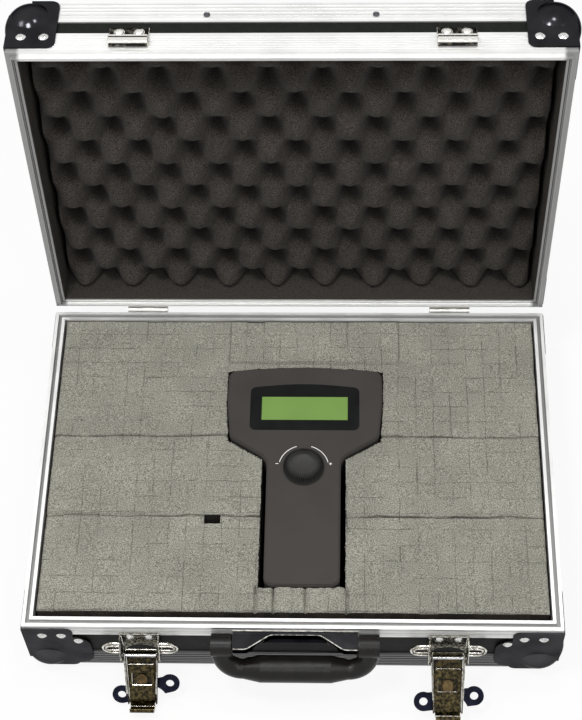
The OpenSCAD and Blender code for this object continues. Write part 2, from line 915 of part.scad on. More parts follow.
// Grip drawn straight out along -Y, then hung down
module handle_grip() {
    inner = bracket_w / 2 + touch_gap;
    mid_x = inner + arm_r;
    bend = min(grip_reach - 6, 17);
    color([0.07, 0.065, 0.06])
        at_handle()
            translate([0, -handle_out, handle_z])
                rotate([grip_hang, 0, 0])
                    difference() {
                        union() {
                            translate([0, -grip_reach, 0])
                                rotate([0, 90, 0])
                                    cylinder(r = grip_r, h = 2 * (mid_x - bend - grip_taper),
                                        center = true);
                            for (side = [0, 1])
                                mirror([side, 0, 0]) {
                                    translate([mid_x - bend - grip_taper, -grip_reach, 0])
                                        rotate([0, 90, 0])
                                            cylinder(r1 = grip_r, r2 = arm_r, h = grip_taper);
                                    translate([mid_x - bend, -grip_reach + bend, 0])
                                        rotate(-90)
                                            rotate_extrude(angle = 90)
                                                translate([bend, 0]) circle(arm_r);
                                    translate([mid_x, -grip_reach + bend, 0])
                                        rotate([-90, 0, 0])
                                            cylinder(r = arm_r, h = grip_reach - bend);
                                    translate([mid_x - arm_r, 0, 0])
                                        rotate([0, 90, 0]) cylinder(r = 9.5, h = 2 * arm_r);
                                }
                        }
                        for (side = [0, 1])
                            mirror([side, 0, 0])
                                translate([inner - 1, 0, 0])
                                    rotate([0, 90, 0]) cylinder(r = 3 + run_fit, h = 15);
                    }
}

// Tester: everything is drawn with its end at y = 0 and its face at z = 0
face_z = foam_top + tester_proud;
head_len = 78;
neck_run = 16;
arch = 5;
neck_top = tester_len - head_len - neck_run;
jaw = [head_w / 2 - 3.5, tester_len - head_len + 4.5];      // low corner of the head
flare = atan2(jaw.y - neck_top, jaw.x - neck_w / 2);
rear_t = tester_t * 0.55;
bezel_w = 95;
bezel_h = 48;
bezel_y = tester_len - 18;
display_y = bezel_y - bezel_h + 21.8;
knob_y = tester_len - 103;
pocket_gap = 0.6;

module at_tester() {
    place() translate([tester_x, tester_y, face_z]) children();
}

// Outline of the tester, grown by g: an arched head running into a narrow neck
function tester_outline(g) =
    let (
        w = head_w / 2 + g,
        n0 = neck_end_w / 2 + g,
        n1 = neck_w / 2 + g,
        top = tester_len + g,
        side = tester_len - 36,
        drop = g * tan(45 - flare / 2)
    )
    rounded([[n0, -g], [n1, neck_top - drop], [jaw.x + g, jaw.y - drop], [w, side],
        [w - 0.5, top - arch], [0, top], [-w + 0.5, top - arch], [-w, side],
        [-jaw.x - g, jaw.y - drop], [-n1, neck_top - drop], [-n0, -g]],
        [8 + g, 14 - g, 9 + g, 150, 8 + g, 300, 8 + g, 150, 9 + g, 14 - g, 8 + g], 5);

module shell_slab(g, z0, z1) {
    translate([0, 0, z0]) linear_extrude(z1 - z0) polygon(tester_outline(g));
}

// Arched outline of the bezel, grown by g
module bezel_outline(g) {
    w = bezel_w / 2 + g;
    polygon(rounded([[-w, bezel_y - bezel_h - g], [w, bezel_y - bezel_h - g],
        [w, bezel_y - arch + g], [0, bezel_y + g], [-w, bezel_y - arch + g]],
        [5 + g, 5 + g, 5 + g, 260, 5 + g], 5));
}

module tester_front_shell() {
    color([0.29, 0.27, 0.26])
        at_tester()
            difference() {
                union() {
                    shell_slab(-1.6, -0.8, 0);
                    shell_slab(-0.6, -2, -0.8);
                    shell_slab(0, -tester_t + rear_t, -2);
                }
                shell_slab(-shell_t, -tester_t, -shell_t);
                translate([0, 0, -1.2]) linear_extrude(2) bezel_outline(touch_gap / 3);
                translate([0, display_y, -shell_t - 1])
                    linear_extrude(4) square([lcd_w, lcd_h], center = true);
                translate([0, knob_y, -shell_t - 1])
                    cylinder(r = shaft_r + 2, h = shell_t + 2);
                for (s = [-1, 1])
                    translate([s * 26, tester_len + 6, -tester_t / 2])
                        rotate([90, 0, 0]) cylinder(r = 12, h = 20);
            }
}

module tester_rear_shell() {
    back = -tester_t;
    color([0.27, 0.255, 0.245])
        at_tester()
            difference() {
                union() {
                    shell_slab(0, back + 3, -tester_t + rear_t);
                    shell_slab(-1, back + 1, back + 3);
                    shell_slab(-2.5, back, back + 1);
                }
                shell_slab(-shell_t, back + shell_t, 0);
                for (s = [-1, 1])
                    translate([s * 26, tester_len + 6, -tester_t / 2])
                        rotate([90, 0, 0]) cylinder(r = 12, h = 20);
                translate([-16, 14, back - 1]) cube([32, 58, shell_t + 2]);
                for (s = [-1, 1], y = [84, tester_len - 20])
                    translate([s * (y > 100 ? 50 : 22), y, back - 1])
                        cylinder(r = 2.2, h = shell_t + 2);
            }
}

module display_bezel() {
    color([0.03, 0.03, 0.035])
        at_tester()
            difference() {
                translate([0, 0, -1.2]) linear_extrude(1.5) bezel_outline(0);
                translate([0, display_y, -2])
                    linear_extrude(4) square([lcd_w - 2, lcd_h - 2], center = true);
            }
}

module display_window() {
    color([0.49, 0.65, 0.33])
        at_tester()
            translate([0, display_y, -1.2])
                linear_extrude(1.1) square([lcd_w - 2, lcd_h - 2], center = true);
}

module display_module() {
    color([0.35, 0.37, 0.36])
        at_tester()
            translate([0, display_y, -8.4])
                linear_extrude(6) square([lcd_w + 10, lcd_h + 14], center = true);
}

module circuit_board() {
    color([0.1, 0.35, 0.16])
        at_tester()
            difference() {
                translate([0, 0, -10]) linear_extrude(1.6) polygon(tester_outline(-shell_t - 1));
                translate([-200, -1, -12]) cube([400, 84, 6]);
                for (s = [-1, 1])
                    translate([s * 26, tester_len + 6, -tester_t / 2])
                        rotate([90, 0, 0]) cylinder(r = 12.5, h = 33);
            }
}

module knob_encoder() {
    color([0.6, 0.6, 0.58])
        at_tester()
            translate([0, knob_y, -8.4]) {
                translate([-7, -7, 0]) cube([14, 14, 5.5]);
                cylinder(r = shaft_r, h = 8.4 + knob_h - 2);
            }
}

// Knob: fluted skirt, dished cap and a blind bore for the shaft
module tester_knob() {
    flutes = 32;
    r = knob_d / 2;
    color([0.08, 0.08, 0.08])
        at_tester()
            translate([0, knob_y, 0])
                difference() {
                    union() {
                        translate([0, 0, touch_gap + 0.1]) cylinder(r = r, h = 1.6);
                        translate([0, 0, 2])
                            cylinder(r1 = r - 0.4, r2 = r - 3.5, h = knob_h - 2.4);
                    }
                    for (i = [0:flutes - 1])
                        rotate(i * 360 / flutes)
                            translate([r - 0.4, 0, 2.4])
                                cylinder(r = 0.9, h = knob_h);
                    translate([0, 0, knob_h + 26]) sphere(27);
                    translate([0, 0, -1]) cylinder(r = shaft_r + run_fit, h = knob_h - 0.6);
                }
}

module battery() {
    color([0.3, 0.3, 0.32])
        at_tester()
            translate([-13, 18, -tester_t + shell_t]) cube([26, 48, 17]);
}

module battery_cover() {
    color([0.27, 0.255, 0.245])
        at_tester()
            difference() {
                translate([-15.8, 14.2, -tester_t]) cube([31.6, 57.6, shell_t]);
                for (y = [20 : 3 : 32])
                    translate([-9, y, -tester_t - 1]) cube([18, 1.2, 1.6]);
            }
}

// Round panel connectors at the head end: sockets drive a line, pins read one
module connector(x, pins) {
    translate([x, tester_len - 4, -tester_t / 2])
        rotate([-90, 0, 0])
            difference() {
                union() {
                    translate([0, 0, -22]) cylinder(r = 11, h = 25);
                    translate([0, 0, 3]) cylinder(r = 13, h = 2);
                }
                if (pins) {
                    difference() {
                        translate([0, 0, -14]) cylinder(r = 9, h = 20);
                        for (a = [90, 210, 330])
                            rotate(a) translate([4, 0, -15]) cylinder(r = 1.2, h = 14);
                    }
                } else {
                    difference() {
                        translate([0, 0, 1]) cylinder(r = 9.5, h = 6);
                        cylinder(r = 8.2, h = 4);
                    }
                    for (a = [90, 210, 330])
                        rotate(a) translate([4, 0, -8]) cylinder(r = 1.3, h = 15);
                }
            }
}

module output_socket() {
    color([0.1, 0.1, 0.1]) at_tester() connector(-26, false);
}

module input_plug() {
    color([0.12, 0.12, 0.12]) at_tester() connector(26, true);
}

module socket_screws() {
    color([0.5, 0.5, 0.5])
        at_tester()
            for (s = [-1, 1], a = [-1, 1])
                translate([s * 26 + a * 9.2, tester_len + 1, -tester_t / 2 + a * 9.2])
                    rotate([-90, 0, 0]) cylinder(r = 1.6, h = 1);
}

module tester_case_screws() {
    color([0.3, 0.3, 0.3])
        at_tester()
            for (s = [-1, 1], y = [84, tester_len - 20])
                translate([s * (y > 100 ? 50 : 22), y, -tester_t + 0.6])
                    cylinder(r = 2.1, h = shell_t - 0.6);
}

// Foam: pad, plucked block with the tester's pocket, egg-crate block and lining in the lid
module foam_base_pad() {
    color([0.3, 0.29, 0.28])
        place()
            translate([-case_w / 2 + wall_in + touch_gap, wall_in + touch_gap, wall_in])
                cube([case_w - 2 * wall_in - 2 * touch_gap,
                    case_d - 2 * wall_in - 2 * touch_gap, pad_t - touch_gap]);
}

module pluck_foam() {
    x0 = -case_w / 2 + wall_in + foam_gap;
    y0 = wall_in + foam_front_gap;
    floor_z = face_z - tester_t - touch_gap;
    color([0.6, 0.59, 0.55])
        place()
            difference() {
                union() {
                    translate([x0, y0, foam_bottom])
                        cube([-2 * x0, case_d - rim_w - touch_gap * 2 - y0, foam_top - foam_bottom]);
                    translate([-cube_w * 4, case_d - rim_w - touch_gap * 2 - cube_w * 3, foam_top])
                        cube([cube_w * 10, cube_w * 3, 3]);
                }
                translate([tester_x, tester_y, floor_z])
                    linear_extrude(100) polygon(tester_outline(pocket_gap));
                translate([tester_x - neck_w / 2 - pocket_side, tester_y - pocket_gap, floor_z])
                    cube([neck_w + 2 * pocket_side, neck_top + pocket_gap, 100]);
                translate([tester_x - 41, tester_y + tester_len - 10, floor_z])
                    cube([82, 12.6, 100]);
                translate([-cube_w * 5 - 2, cube_w * 7 - 3, foam_top - cube_w])
                    cube([cube_w * 0.6, cube_w * 0.6, 100]);
            }
}

// Peaks on staggered rows; row and column count from the middle of the lid
lining_in = wall_in + 0.2;
lid_inner = lid_h - wall_in - lining_t;         // room from the rim plane to the lining
module lid_foam() {
    x0 = case_w / 2 - wall_in - 6;
    y0 = wall_in + 8;
    y1 = case_d - wall_in - 6;
    rows = floor((y1 - y0 - peak_y * 0.6) / peak_y);
    cols = floor((2 * x0 - peak_x) / peak_x);
    peak_h = lid_inner - lid_foam_back - peak_clear;
    color([0.24, 0.22, 0.21])
        on_lid()
            translate([0, 0, base_h]) {
                translate([-x0, y0, lid_inner - lid_foam_back])
                    cube([2 * x0, y1 - y0, lid_foam_back - touch_gap]);
                for (j = [0:rows], i = [0:cols])
                    let (
                        shift = j % 2 == 0 ? 0 : peak_x / 2,
                        x = (i - cols / 2) * peak_x + shift - peak_x / 4,
                        y = (y0 + y1) / 2 + (j - rows / 2) * peak_y
                    )
                    translate([x, y, peak_clear])
                        cylinder(r1 = 3.5, r2 = peak_y * 0.48, h = peak_h + eps);
            }
}

module lid_lining() {
    w = case_w - 2 * wall_in;
    d = case_d - 2 * wall_in;
    low = base_h + seal_gap + inner_band_h;
    high = base_h + lid_h - wall_in;
    color([0.08, 0.075, 0.07])
        on_lid() {
            translate([-w / 2, wall_in, high - lining_t]) cube([w, d, lining_t]);
            for (x = [-w / 2, w / 2 - lining_t])
                translate([x, wall_in, low]) cube([lining_t, d, high - lining_t - seam - low]);
            for (y = [wall_in, wall_in + d - lining_t])
                translate([-w / 2 + lining_t + seam, y, low])
                    cube([w - 2 * lining_t - 2 * seam, lining_t, high - lining_t - seam - low]);
        }
}

base_bottom_panel();
base_wall_panels();
base_rim_extrusions();
base_edge_extrusions();
base_ball_corners();
base_rivets();
foam_base_pad();
pluck_foam();
hinge_base_leaves();
hinge_pins();
handle_bracket();
handle_pins();
handle_grip();
latch_brackets();
latch_rivets();
latch_pivot_rods();
latch_springs();
left_latch_arm();
left_hook_plate();
left_key_stud();
left_key_pin();
left_butterfly_key();
right_latch_arm();
right_hook_plate();
right_key_stud();
right_key_pin();
right_butterfly_key();
lid_top_panel();
lid_wall_panels();
lid_rim_extrusions();
lid_edge_extrusions();
lid_ball_corners();
lid_rivets();
lid_screws();
hinge_lid_leaves();
keepers();
lid_lining();
lid_foam();
tester_front_shell();
tester_rear_shell();
display_bezel();
display_window();
display_module();
circuit_board();
knob_encoder();
tester_knob();
battery();
battery_cover();
output_socket();
input_plug();
socket_screws();
tester_case_screws();
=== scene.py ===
"""Dresses the handheld tester in its foam-lined flight case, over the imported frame.

Case coordinates are millimetres: x from the middle, y from the front face and z from the
underside of the case, with the lid closed. case_point and lid_point turn them into the
frame's metres.
"""

import json
import math
import random

import bmesh
import bpy
from mathutils import Matrix, Vector, noise


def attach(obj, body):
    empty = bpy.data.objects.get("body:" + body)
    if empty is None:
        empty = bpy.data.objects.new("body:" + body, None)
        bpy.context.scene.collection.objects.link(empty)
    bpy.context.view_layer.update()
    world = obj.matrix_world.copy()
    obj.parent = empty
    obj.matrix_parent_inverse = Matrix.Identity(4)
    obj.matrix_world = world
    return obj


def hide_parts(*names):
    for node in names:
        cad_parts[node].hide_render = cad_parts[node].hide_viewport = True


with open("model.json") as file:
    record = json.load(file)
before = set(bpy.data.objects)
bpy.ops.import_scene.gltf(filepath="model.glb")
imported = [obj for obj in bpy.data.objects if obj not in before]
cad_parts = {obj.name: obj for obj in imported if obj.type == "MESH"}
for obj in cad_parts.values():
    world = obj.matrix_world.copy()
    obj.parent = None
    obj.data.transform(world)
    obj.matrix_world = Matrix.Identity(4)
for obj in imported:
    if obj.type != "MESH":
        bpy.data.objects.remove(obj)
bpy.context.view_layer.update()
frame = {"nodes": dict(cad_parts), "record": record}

# --- Driving sizes, in millimetres and degrees -------------------------------------------

MM = 0.001
CASE_W = 440
CASE_D = 309
BASE_H = 74.5
LID_H = 57
LID_OPEN = 94.4
FRONT_Y = 172.5
STAND = 6.2
WALL_IN = 7.2
RIM_W = 8.6
HINGE_Y = CASE_D + 3.5
HINGE_Z = BASE_H - 1.4
CUBE = 15
CUBE_COLUMN = -60.5
CUBE_ROW = 76.7
SEAMS = (181.7, 103.7)
FOAM_TOP = BASE_H - 2.5
FOAM_BOTTOM = WALL_IN + 12
TESTER = (7.5, 37)
FACE_Z = FOAM_TOP + 4
KNOB_Y = 111
FLUTES = 56
LATCH_X = 126.5

PLACE = Matrix.Scale(MM, 4) @ Matrix.Translation((0, -FRONT_Y, STAND))
HINGE = Matrix.Translation((0, HINGE_Y, HINGE_Z))
OPEN_LID = PLACE @ HINGE @ Matrix.Rotation(math.radians(-LID_OPEN), 4, "X") @ HINGE.inverted()


def case_point(x, y, z):
    """A point of the case in the frame's metres."""
    return PLACE @ Vector((x, y, z))


def lid_point(x, y, z):
    """A point of the closed lid, turned up with the open lid, in the frame's metres."""
    return OPEN_LID @ Vector((x, y, z))


# --- Shader helpers ----------------------------------------------------------------------

# Most of a noise node's values lie between these
NOISE_SPAN = (0.3, 0.7)


def new_paint(name):
    """A material, its node tree and its Principled shader."""
    paint = bpy.data.materials.new(name)
    paint.use_nodes = True
    return paint, paint.node_tree, paint.node_tree.nodes["Principled BSDF"]


def math_node(tree, operation, first, second=0):
    """A math node on two values, either of which may be a number."""
    node = tree.nodes.new("ShaderNodeMath")
    node.operation = operation
    for value, entry in zip((first, second), node.inputs):
        if isinstance(value, (int, float)):
            entry.default_value = value
        else:
            tree.links.new(value, entry)
    return node.outputs[0]


def object_place(tree):
    """The shaded point in the object's own coordinates: the frame's metres at rest."""
    return tree.nodes.new("ShaderNodeTexCoord").outputs["Object"]


def along(tree, axis, zero):
    """Distance along an axis from a place, in metres."""
    node = tree.nodes.new("ShaderNodeVectorMath")
    node.operation = "DOT_PRODUCT"
    node.inputs[1].default_value = axis
    tree.links.new(object_place(tree), node.inputs[0])
    return math_node(tree, "SUBTRACT", node.outputs["Value"], zero)


def noise_node(tree, scale, detail=3.0, shift=0):
    """Noise with features of about 1 / scale metres, moved aside by a shift in metres."""
    source = object_place(tree)
    if shift:
        move = tree.nodes.new("ShaderNodeMapping")
        move.inputs["Location"].default_value = (shift, 0, 0)
        tree.links.new(source, move.inputs["Vector"])
        source = move.outputs[0]
    node = tree.nodes.new("ShaderNodeTexNoise")
    node.inputs["Scale"].default_value = scale
    node.inputs["Detail"].default_value = detail
    tree.links.new(source, node.inputs["Vector"])
    return node.outputs["Fac"]


def remap(tree, value, low, high, span=NOISE_SPAN):
    """Maps value from span to low..high."""
    node = tree.nodes.new("ShaderNodeMapRange")
    node.inputs["From Min"].default_value = span[0]
    node.inputs["From Max"].default_value = span[1]
    node.inputs["To Min"].default_value = low
    node.inputs["To Max"].default_value = high
    tree.links.new(value, node.inputs["Value"])
    return node.outputs[0]


def line_at(tree, value, middle, half):
    """1 where value is at middle, falling to 0 at half from it."""
    off = math_node(tree, "ABSOLUTE", math_node(tree, "SUBTRACT", value, middle))
    return remap(tree, off, 1.0, 0.0, (half * 0.5, half))


def darken(tree, shade, mask, rest):
    """Leaves the share rest of a shade where a mask is 1."""
    return math_node(tree, "MULTIPLY", shade, remap(tree, mask, 1.0, rest, (0, 1)))


def blend_colors(tree, value, dark, light, span=NOISE_SPAN):
    """Colour between dark and light, as value goes through span."""
    node = tree.nodes.new("ShaderNodeValToRGB")
    for element, position, color in zip(node.color_ramp.elements, span, (dark, light)):
        element.position = position
        element.color = (*color, 1)
    tree.links.new(value, node.inputs[0])
    return node.outputs[0]


def mix_colors(tree, share, under, over):
    """Mixes two colours, each a socket or an (r, g, b)."""
    node = tree.nodes.new("ShaderNodeMix")
    node.data_type = "RGBA"
    tree.links.new(share, node.inputs["Factor"])
    for entry, color in (("A", under), ("B", over)):
        if isinstance(color, tuple):
            node.inputs[entry].default_value = (*color, 1)
        else:
            tree.links.new(color, node.inputs[entry])
    return node.outputs["Result"]


def shade_color(tree, color, shade):
    """A colour made darker or lighter by a factor."""
    node = tree.nodes.new("ShaderNodeVectorMath")
    node.operation = "SCALE"
    tree.links.new(color, node.inputs[0])
    tree.links.new(shade, node.inputs["Scale"])
    return node.outputs[0]


def painted(tree):
    """The colour that a material's shader is given so far."""
    return tree.nodes["Principled BSDF"].inputs["Base Color"].links[0].from_socket


def repaint(tree, color):
    """Gives a material's shader another colour."""
    tree.links.new(color, tree.nodes["Principled BSDF"].inputs["Base Color"])


def roughen(tree, height, distance):
    """Raises a material's surface where height is 1, by a distance in metres."""
    bump = tree.nodes.new("ShaderNodeBump")
    bump.inputs["Distance"].default_value = distance
    tree.links.new(height, bump.inputs["Height"])
    tree.links.new(bump.outputs[0], tree.nodes["Principled BSDF"].inputs["Normal"])


def scaled(color, factor):
    return tuple(min(1.0, c * factor) for c in color)


# --- Camera, light and floor -------------------------------------------------------------

CAMERA_AT = (44.6, -579.1, 1376.7)
CAMERA_PITCH = 57.22
CAMERA_YAW = -3.43
CAMERA_ROLL = -2.68
LENS = 87.085
SENSOR = 36
# Place and size in metres, and watts
LAMPS = [((-0.45, -0.25, 1.9), 0.3, 13), ((-0.25, -1.1, 1.5), 0.3, 3),
         ((0.45, -0.9, 1.75), 0.2, 4), ((0.95, -0.3, 1.4), 0.25, 3),
         ((-0.9, 0.1, 1.3), 0.3, 3), ((0.15, 0.25, 1.7), 0.2, 4)]
LAMP_TARGET = (0, 0.02, 0.1)
WHITE = (1, 1, 1, 1)
WORLD_FILL = 0.4
FLOOR_HALF = 4
FLOOR_GREY = (0.8, 0.8, 0.8, 1)
FLOOR_WHITE = 0.9


def add_camera():
    pitch, yaw, roll = (math.radians(a) for a in (CAMERA_PITCH, CAMERA_YAW, CAMERA_ROLL))
    level_run = math.cos(pitch)
    forward = Vector((math.sin(yaw) * level_run, math.cos(yaw) * level_run, -math.sin(pitch)))
    level = Vector((math.cos(yaw), -math.sin(yaw), 0))
    up = level.cross(forward)
    right = math.cos(roll) * level + math.sin(roll) * up
    top = math.cos(roll) * up - math.sin(roll) * level
    turn = Matrix((right, top, -forward)).transposed().to_4x4()
    data = bpy.data.cameras.new("camera")
    data.lens = LENS
    data.sensor_width = SENSOR
    camera = bpy.data.objects.new("camera", data)
    bpy.context.collection.objects.link(camera)
    camera.matrix_world = Matrix.Translation(case_point(*CAMERA_AT)) @ turn
    bpy.context.scene.camera = camera


def add_lamp(name, at, size, watts):
    data = bpy.data.lights.new(name, "AREA")
    data.shape = "RECTANGLE"
    data.size = data.size_y = size
    data.energy = watts
    lamp = bpy.data.objects.new(name, data)
    bpy.context.collection.objects.link(lamp)
    lamp.location = at
    aim = Vector(LAMP_TARGET) - Vector(at)
    lamp.rotation_euler = aim.to_track_quat("-Z", "Y").to_euler()


def white_to_the_eye(tree, lit, white, share):
    """Mixes a share of plain white into lit shading for camera, mirror and glass rays."""
    path = tree.nodes.new("ShaderNodeLightPath")
    seen = path.outputs["Is Camera Ray"]
    for ray in ("Is Glossy Ray", "Is Transmission Ray"):
        seen = math_node(tree, "MAXIMUM", seen, path.outputs[ray])
    mix = tree.nodes.new("ShaderNodeMixShader")
    tree.links.new(math_node(tree, "MULTIPLY", seen, share), mix.inputs["Fac"])
    tree.links.new(lit, mix.inputs[1])
    tree.links.new(white, mix.inputs[2])
    return mix.outputs[0]


def add_world():
    world = bpy.data.worlds.new("studio")
    world.use_nodes = True
    bpy.context.scene.world = world
    tree = world.node_tree
    lit = tree.nodes["Background"]
    lit.inputs["Color"].default_value = WHITE
    lit.inputs["Strength"].default_value = WORLD_FILL
    white = tree.nodes.new("ShaderNodeBackground")
    white.inputs["Color"].default_value = WHITE
    white.inputs["Strength"].default_value = 1.0
    seen = white_to_the_eye(tree, lit.outputs[0], white.outputs[0], 1.0)
    tree.links.new(seen, tree.nodes["World Output"].inputs["Surface"])


def add_floor():
    mesh = bpy.data.meshes.new("floor")
    shape = bmesh.new()
    bmesh.ops.create_grid(shape, x_segments=1, y_segments=1, size=FLOOR_HALF)
    shape.to_mesh(mesh)
    shape.free()
    floor = bpy.data.objects.new("floor", mesh)
    bpy.context.collection.objects.link(floor)
    paint, tree, lit = new_paint("floor")
    lit.inputs["Base Color"].default_value = FLOOR_GREY
    lit.inputs["Roughness"].default_value = 0.9
    lit.inputs["Specular IOR Level"].default_value = 0.1
    white = tree.nodes.new("ShaderNodeEmission")
    white.inputs["Strength"].default_value = 1.0
    seen = white_to_the_eye(tree, lit.outputs[0], white.outputs[0], FLOOR_WHITE)
    tree.links.new(seen, tree.nodes["Material Output"].inputs["Surface"])
    mesh.materials.append(paint)


bpy.context.scene.view_settings.view_transform = "Standard"
add_camera()
add_world()
add_floor()
for index, (at, size, watts) in enumerate(LAMPS):
    add_lamp(f"lamp_{index}", at, size, watts)

# --- Kinds of material -------------------------------------------------------------------


def surface(name, color, rough, metal=0.0, tint=0.1, tint_scale=60.0, second=None,
            span=NOISE_SPAN, grain=900.0, raised=0.0, specular=0.5, rough_vary=0.06,
            edge=1.0, ior=1.45):
    """Principled material. Noise turns the colour towards a second one, and varies the
    roughness; finer noise raises the surface by the metres given. edge is how much of its
    grazing shine a metal keeps."""
    paint, tree, shader = new_paint(name)
    shader.inputs["Metallic"].default_value = metal
    shader.inputs["Specular IOR Level"].default_value = specular
    shader.inputs["Specular Tint"].default_value = (edge, edge, edge, 1)
    shader.inputs["IOR"].default_value = ior
    patches = noise_node(tree, tint_scale)
    light = second or scaled(color, 1 + tint)
    dark = color if second else scaled(color, 1 - tint)
    repaint(tree, blend_colors(tree, patches, dark, light, span))
    tree.links.new(remap(tree, patches, rough - rough_vary, rough + rough_vary),
                   shader.inputs["Roughness"])
    if raised:
        roughen(tree, noise_node(tree, grain, 2.0), raised)
    return paint


# Axis and zero of x, y and z of the case, and of the closed lid's own where it stands open
LID_BACK = OPEN_LID.to_3x3() @ Vector((0, 1 / MM, 0))
LID_IN = OPEN_LID.to_3x3() @ Vector((0, 0, 1 / MM))
LID_ZERO = LID_IN.dot(lid_point(0, 0, 0))
BASE_AXES = (((1, 0, 0), 0), ((0, 1, 0), -FRONT_Y * MM), ((0, 0, 1), STAND * MM))
LID_AXES = (((1, 0, 0), 0), (tuple(LID_BACK), LID_BACK.dot(lid_point(0, 0, 0))),
            (tuple(LID_IN), LID_ZERO))

# Half widths of the painted shade in the grooves, and between which distances from the middle
# the frame's side runs start, which can be painted darker as shade
FACE_GROOVE_HALF = 0.55
WALL_GROOVE_HALF = 0.6
SIDE_RUN = (CASE_W / 2 - 11.5, CASE_W / 2 - 8.5)


def extrusion(name, color, axes, face_lines, wall_lines, sides=1.0, depth=0.7):
    """Brushed aluminium frame with painted shade in its grooves: face_lines are millimetres in
    from the outer edge of its flat face, wall_lines heights on its outer wall. sides darkens the
    left and right runs as painted shade, and depth is how dark the grooves' shade is."""
    paint = surface(name, color, 0.4, metal=0.75, tint=0.05, tint_scale=35, grain=2500,
                    raised=0.00002)
    tree = paint.node_tree
    x, y, z = (along(tree, axis, zero) for axis, zero in axes)
    aside = math_node(tree, "ABSOLUTE", x)
    inward = math_node(tree, "SUBTRACT", CASE_W / 2 * MM, aside)
    inward = math_node(tree, "MINIMUM", inward, y)
    inward = math_node(tree, "MINIMUM", inward, math_node(tree, "SUBTRACT", CASE_D * MM, y))
    groove_shadow = 0.0
    for value, lines, half in ((inward, face_lines, FACE_GROOVE_HALF),
                               (z, wall_lines, WALL_GROOVE_HALF)):
        for place in lines:
            mask = line_at(tree, value, place * MM, half * MM)
            groove_shadow = math_node(tree, "MAXIMUM", groove_shadow, mask)
    side_run_shade = remap(tree, aside, 1.0, sides, [run * MM for run in SIDE_RUN])
    shade = darken(tree, side_run_shade, groove_shadow, 1 - depth)
    repaint(tree, shade_color(tree, painted(tree), shade))
    return paint


# Half width of the slot line in a keeper's lip, where its painted highlight is left out, and
# where a spot's edge starts to fade
SLOT_HALF = 1.0
SPOT_FADE = 0.9


def with_spots(paint, color, spots, radius, lip_highlight):
    """Paints round spots of another colour on a material, at points in metres, and a painted
    highlight along a lip. The lip highlight gives an axis, its zero, where the highlight stands
    and half its depth, then the axis, zero and place of the slot line in it, where the highlight
    is left out."""
    tree = paint.node_tree
    share = 0.0
    for spot in spots:
        gap = tree.nodes.new("ShaderNodeVectorMath")
        gap.operation = "DISTANCE"
        gap.inputs[1].default_value = tuple(spot)
        tree.links.new(object_place(tree), gap.inputs[0])
        inside = remap(tree, gap.outputs["Value"], 1.0, 0.0, (radius * SPOT_FADE, radius))
        share = math_node(tree, "MAXIMUM", share, inside)
    (axis, zero, middle, half), (up, up_zero, slot) = lip_highlight
    # Painted highlight along the lip, left out on the slot line
    highlight_band = line_at(tree, along(tree, axis, zero), middle, half)
    line = line_at(tree, along(tree, up, up_zero), slot, SLOT_HALF * MM)
    share = math_node(tree, "MAXIMUM", share, darken(tree, highlight_band, line, 0.0))
    repaint(tree, mix_colors(tree, share, painted(tree), color))


# From the ridge to the groove of the painted highlight and shade on a flute, and how the ring
# of flutes fades
FLUTE_SPAN = (0.12, 0.38)
RING_FADE = 1.6


def with_flute_shading(paint, center, inner, outer, dark, light):
    """Paints highlight and shade round a knob's flutes, between two radii."""
    tree = paint.node_tree
    right = along(tree, (1, 0, 0), center.x)
    ahead = along(tree, (0, 1, 0), center.y)
    turn = math_node(tree, "ARCTAN2", ahead, right)
    ridge = math_node(tree, "MULTIPLY", turn, FLUTES / 2 / math.pi)
    ridge = math_node(tree, "PINGPONG", ridge, 0.5)
    squares = [math_node(tree, "POWER", run, 2) for run in (right, ahead)]
    reach = math_node(tree, "SQRT", math_node(tree, "ADD", *squares))
    ring = line_at(tree, reach, (inner + outer) / 2, (outer - inner) / RING_FADE)
    share = math_node(tree, "MULTIPLY", remap(tree, ridge, 1.0, 0.0, FLUTE_SPAN), ring)
    repaint(tree, mix_colors(tree, share, dark, light))


# Painted shade along the foam's cuts and seams: half widths and how far they wander, in
# millimetres. CUT_CORE is the share of a half width that is darkest, a shade is the share of
# the colour that is left there, and CUT_SHOWS is the noise at which cuts start and at which
# they are whole. The noises are the scales of noise nodes.
CUT_HALF = 0.55
CUT_CORE = 0.4
CUT_WANDER = 0.6
CUT_SHADE = 0.55
CUT_SHOWS = (0.46, 0.62)
CUT_NOISE = 40.0
BREAK_NOISE = 45.0
SEAM_HALF = 0.8
SEAM_WANDER = 1.2
SEAM_SHADE = 0.52
SEAM_NOISE = 30.0
PIT_SHADE = 0.12
GRIME_NOISE = 22.0
CELL_SPAN = (0.35, 0.65)


def wander(tree, scale, reach):
    """A slow drift to either side, by a reach in millimetres."""
    return remap(tree, noise_node(tree, scale), -reach * MM, reach * MM)


def cut_shadow_mask(tree, axis, start, shift):
    """1 where thin broken cuts along an axis of the case are painted in shade, 0 between them."""
    parts = tree.nodes.new("ShaderNodeSeparateXYZ")
    tree.links.new(object_place(tree), parts.inputs[0])
    place = math_node(tree, "ADD", parts.outputs[axis], wander(tree, CUT_NOISE, CUT_WANDER))
    place = math_node(tree, "SUBTRACT", place, start * MM)
    place = math_node(tree, "PINGPONG", place, CUBE * MM / 2)
    line = remap(tree, place, 1.0, 0.0, (CUT_HALF * MM * CUT_CORE, CUT_HALF * MM))
    present = remap(tree, noise_node(tree, BREAK_NOISE, shift=shift), 0.0, 1.0, CUT_SHOWS)
    return math_node(tree, "MULTIPLY", line, present)


def seam_shadow_mask(tree, seam):
    """1 on the painted shade of the seam that crosses the case at a distance from its front."""
    off = along(tree, (0, 1, 0), (seam - FRONT_Y) * MM)
    off = math_node(tree, "ADD", off, wander(tree, SEAM_NOISE, SEAM_WANDER))
    return line_at(tree, off, 0, SEAM_HALF * MM)


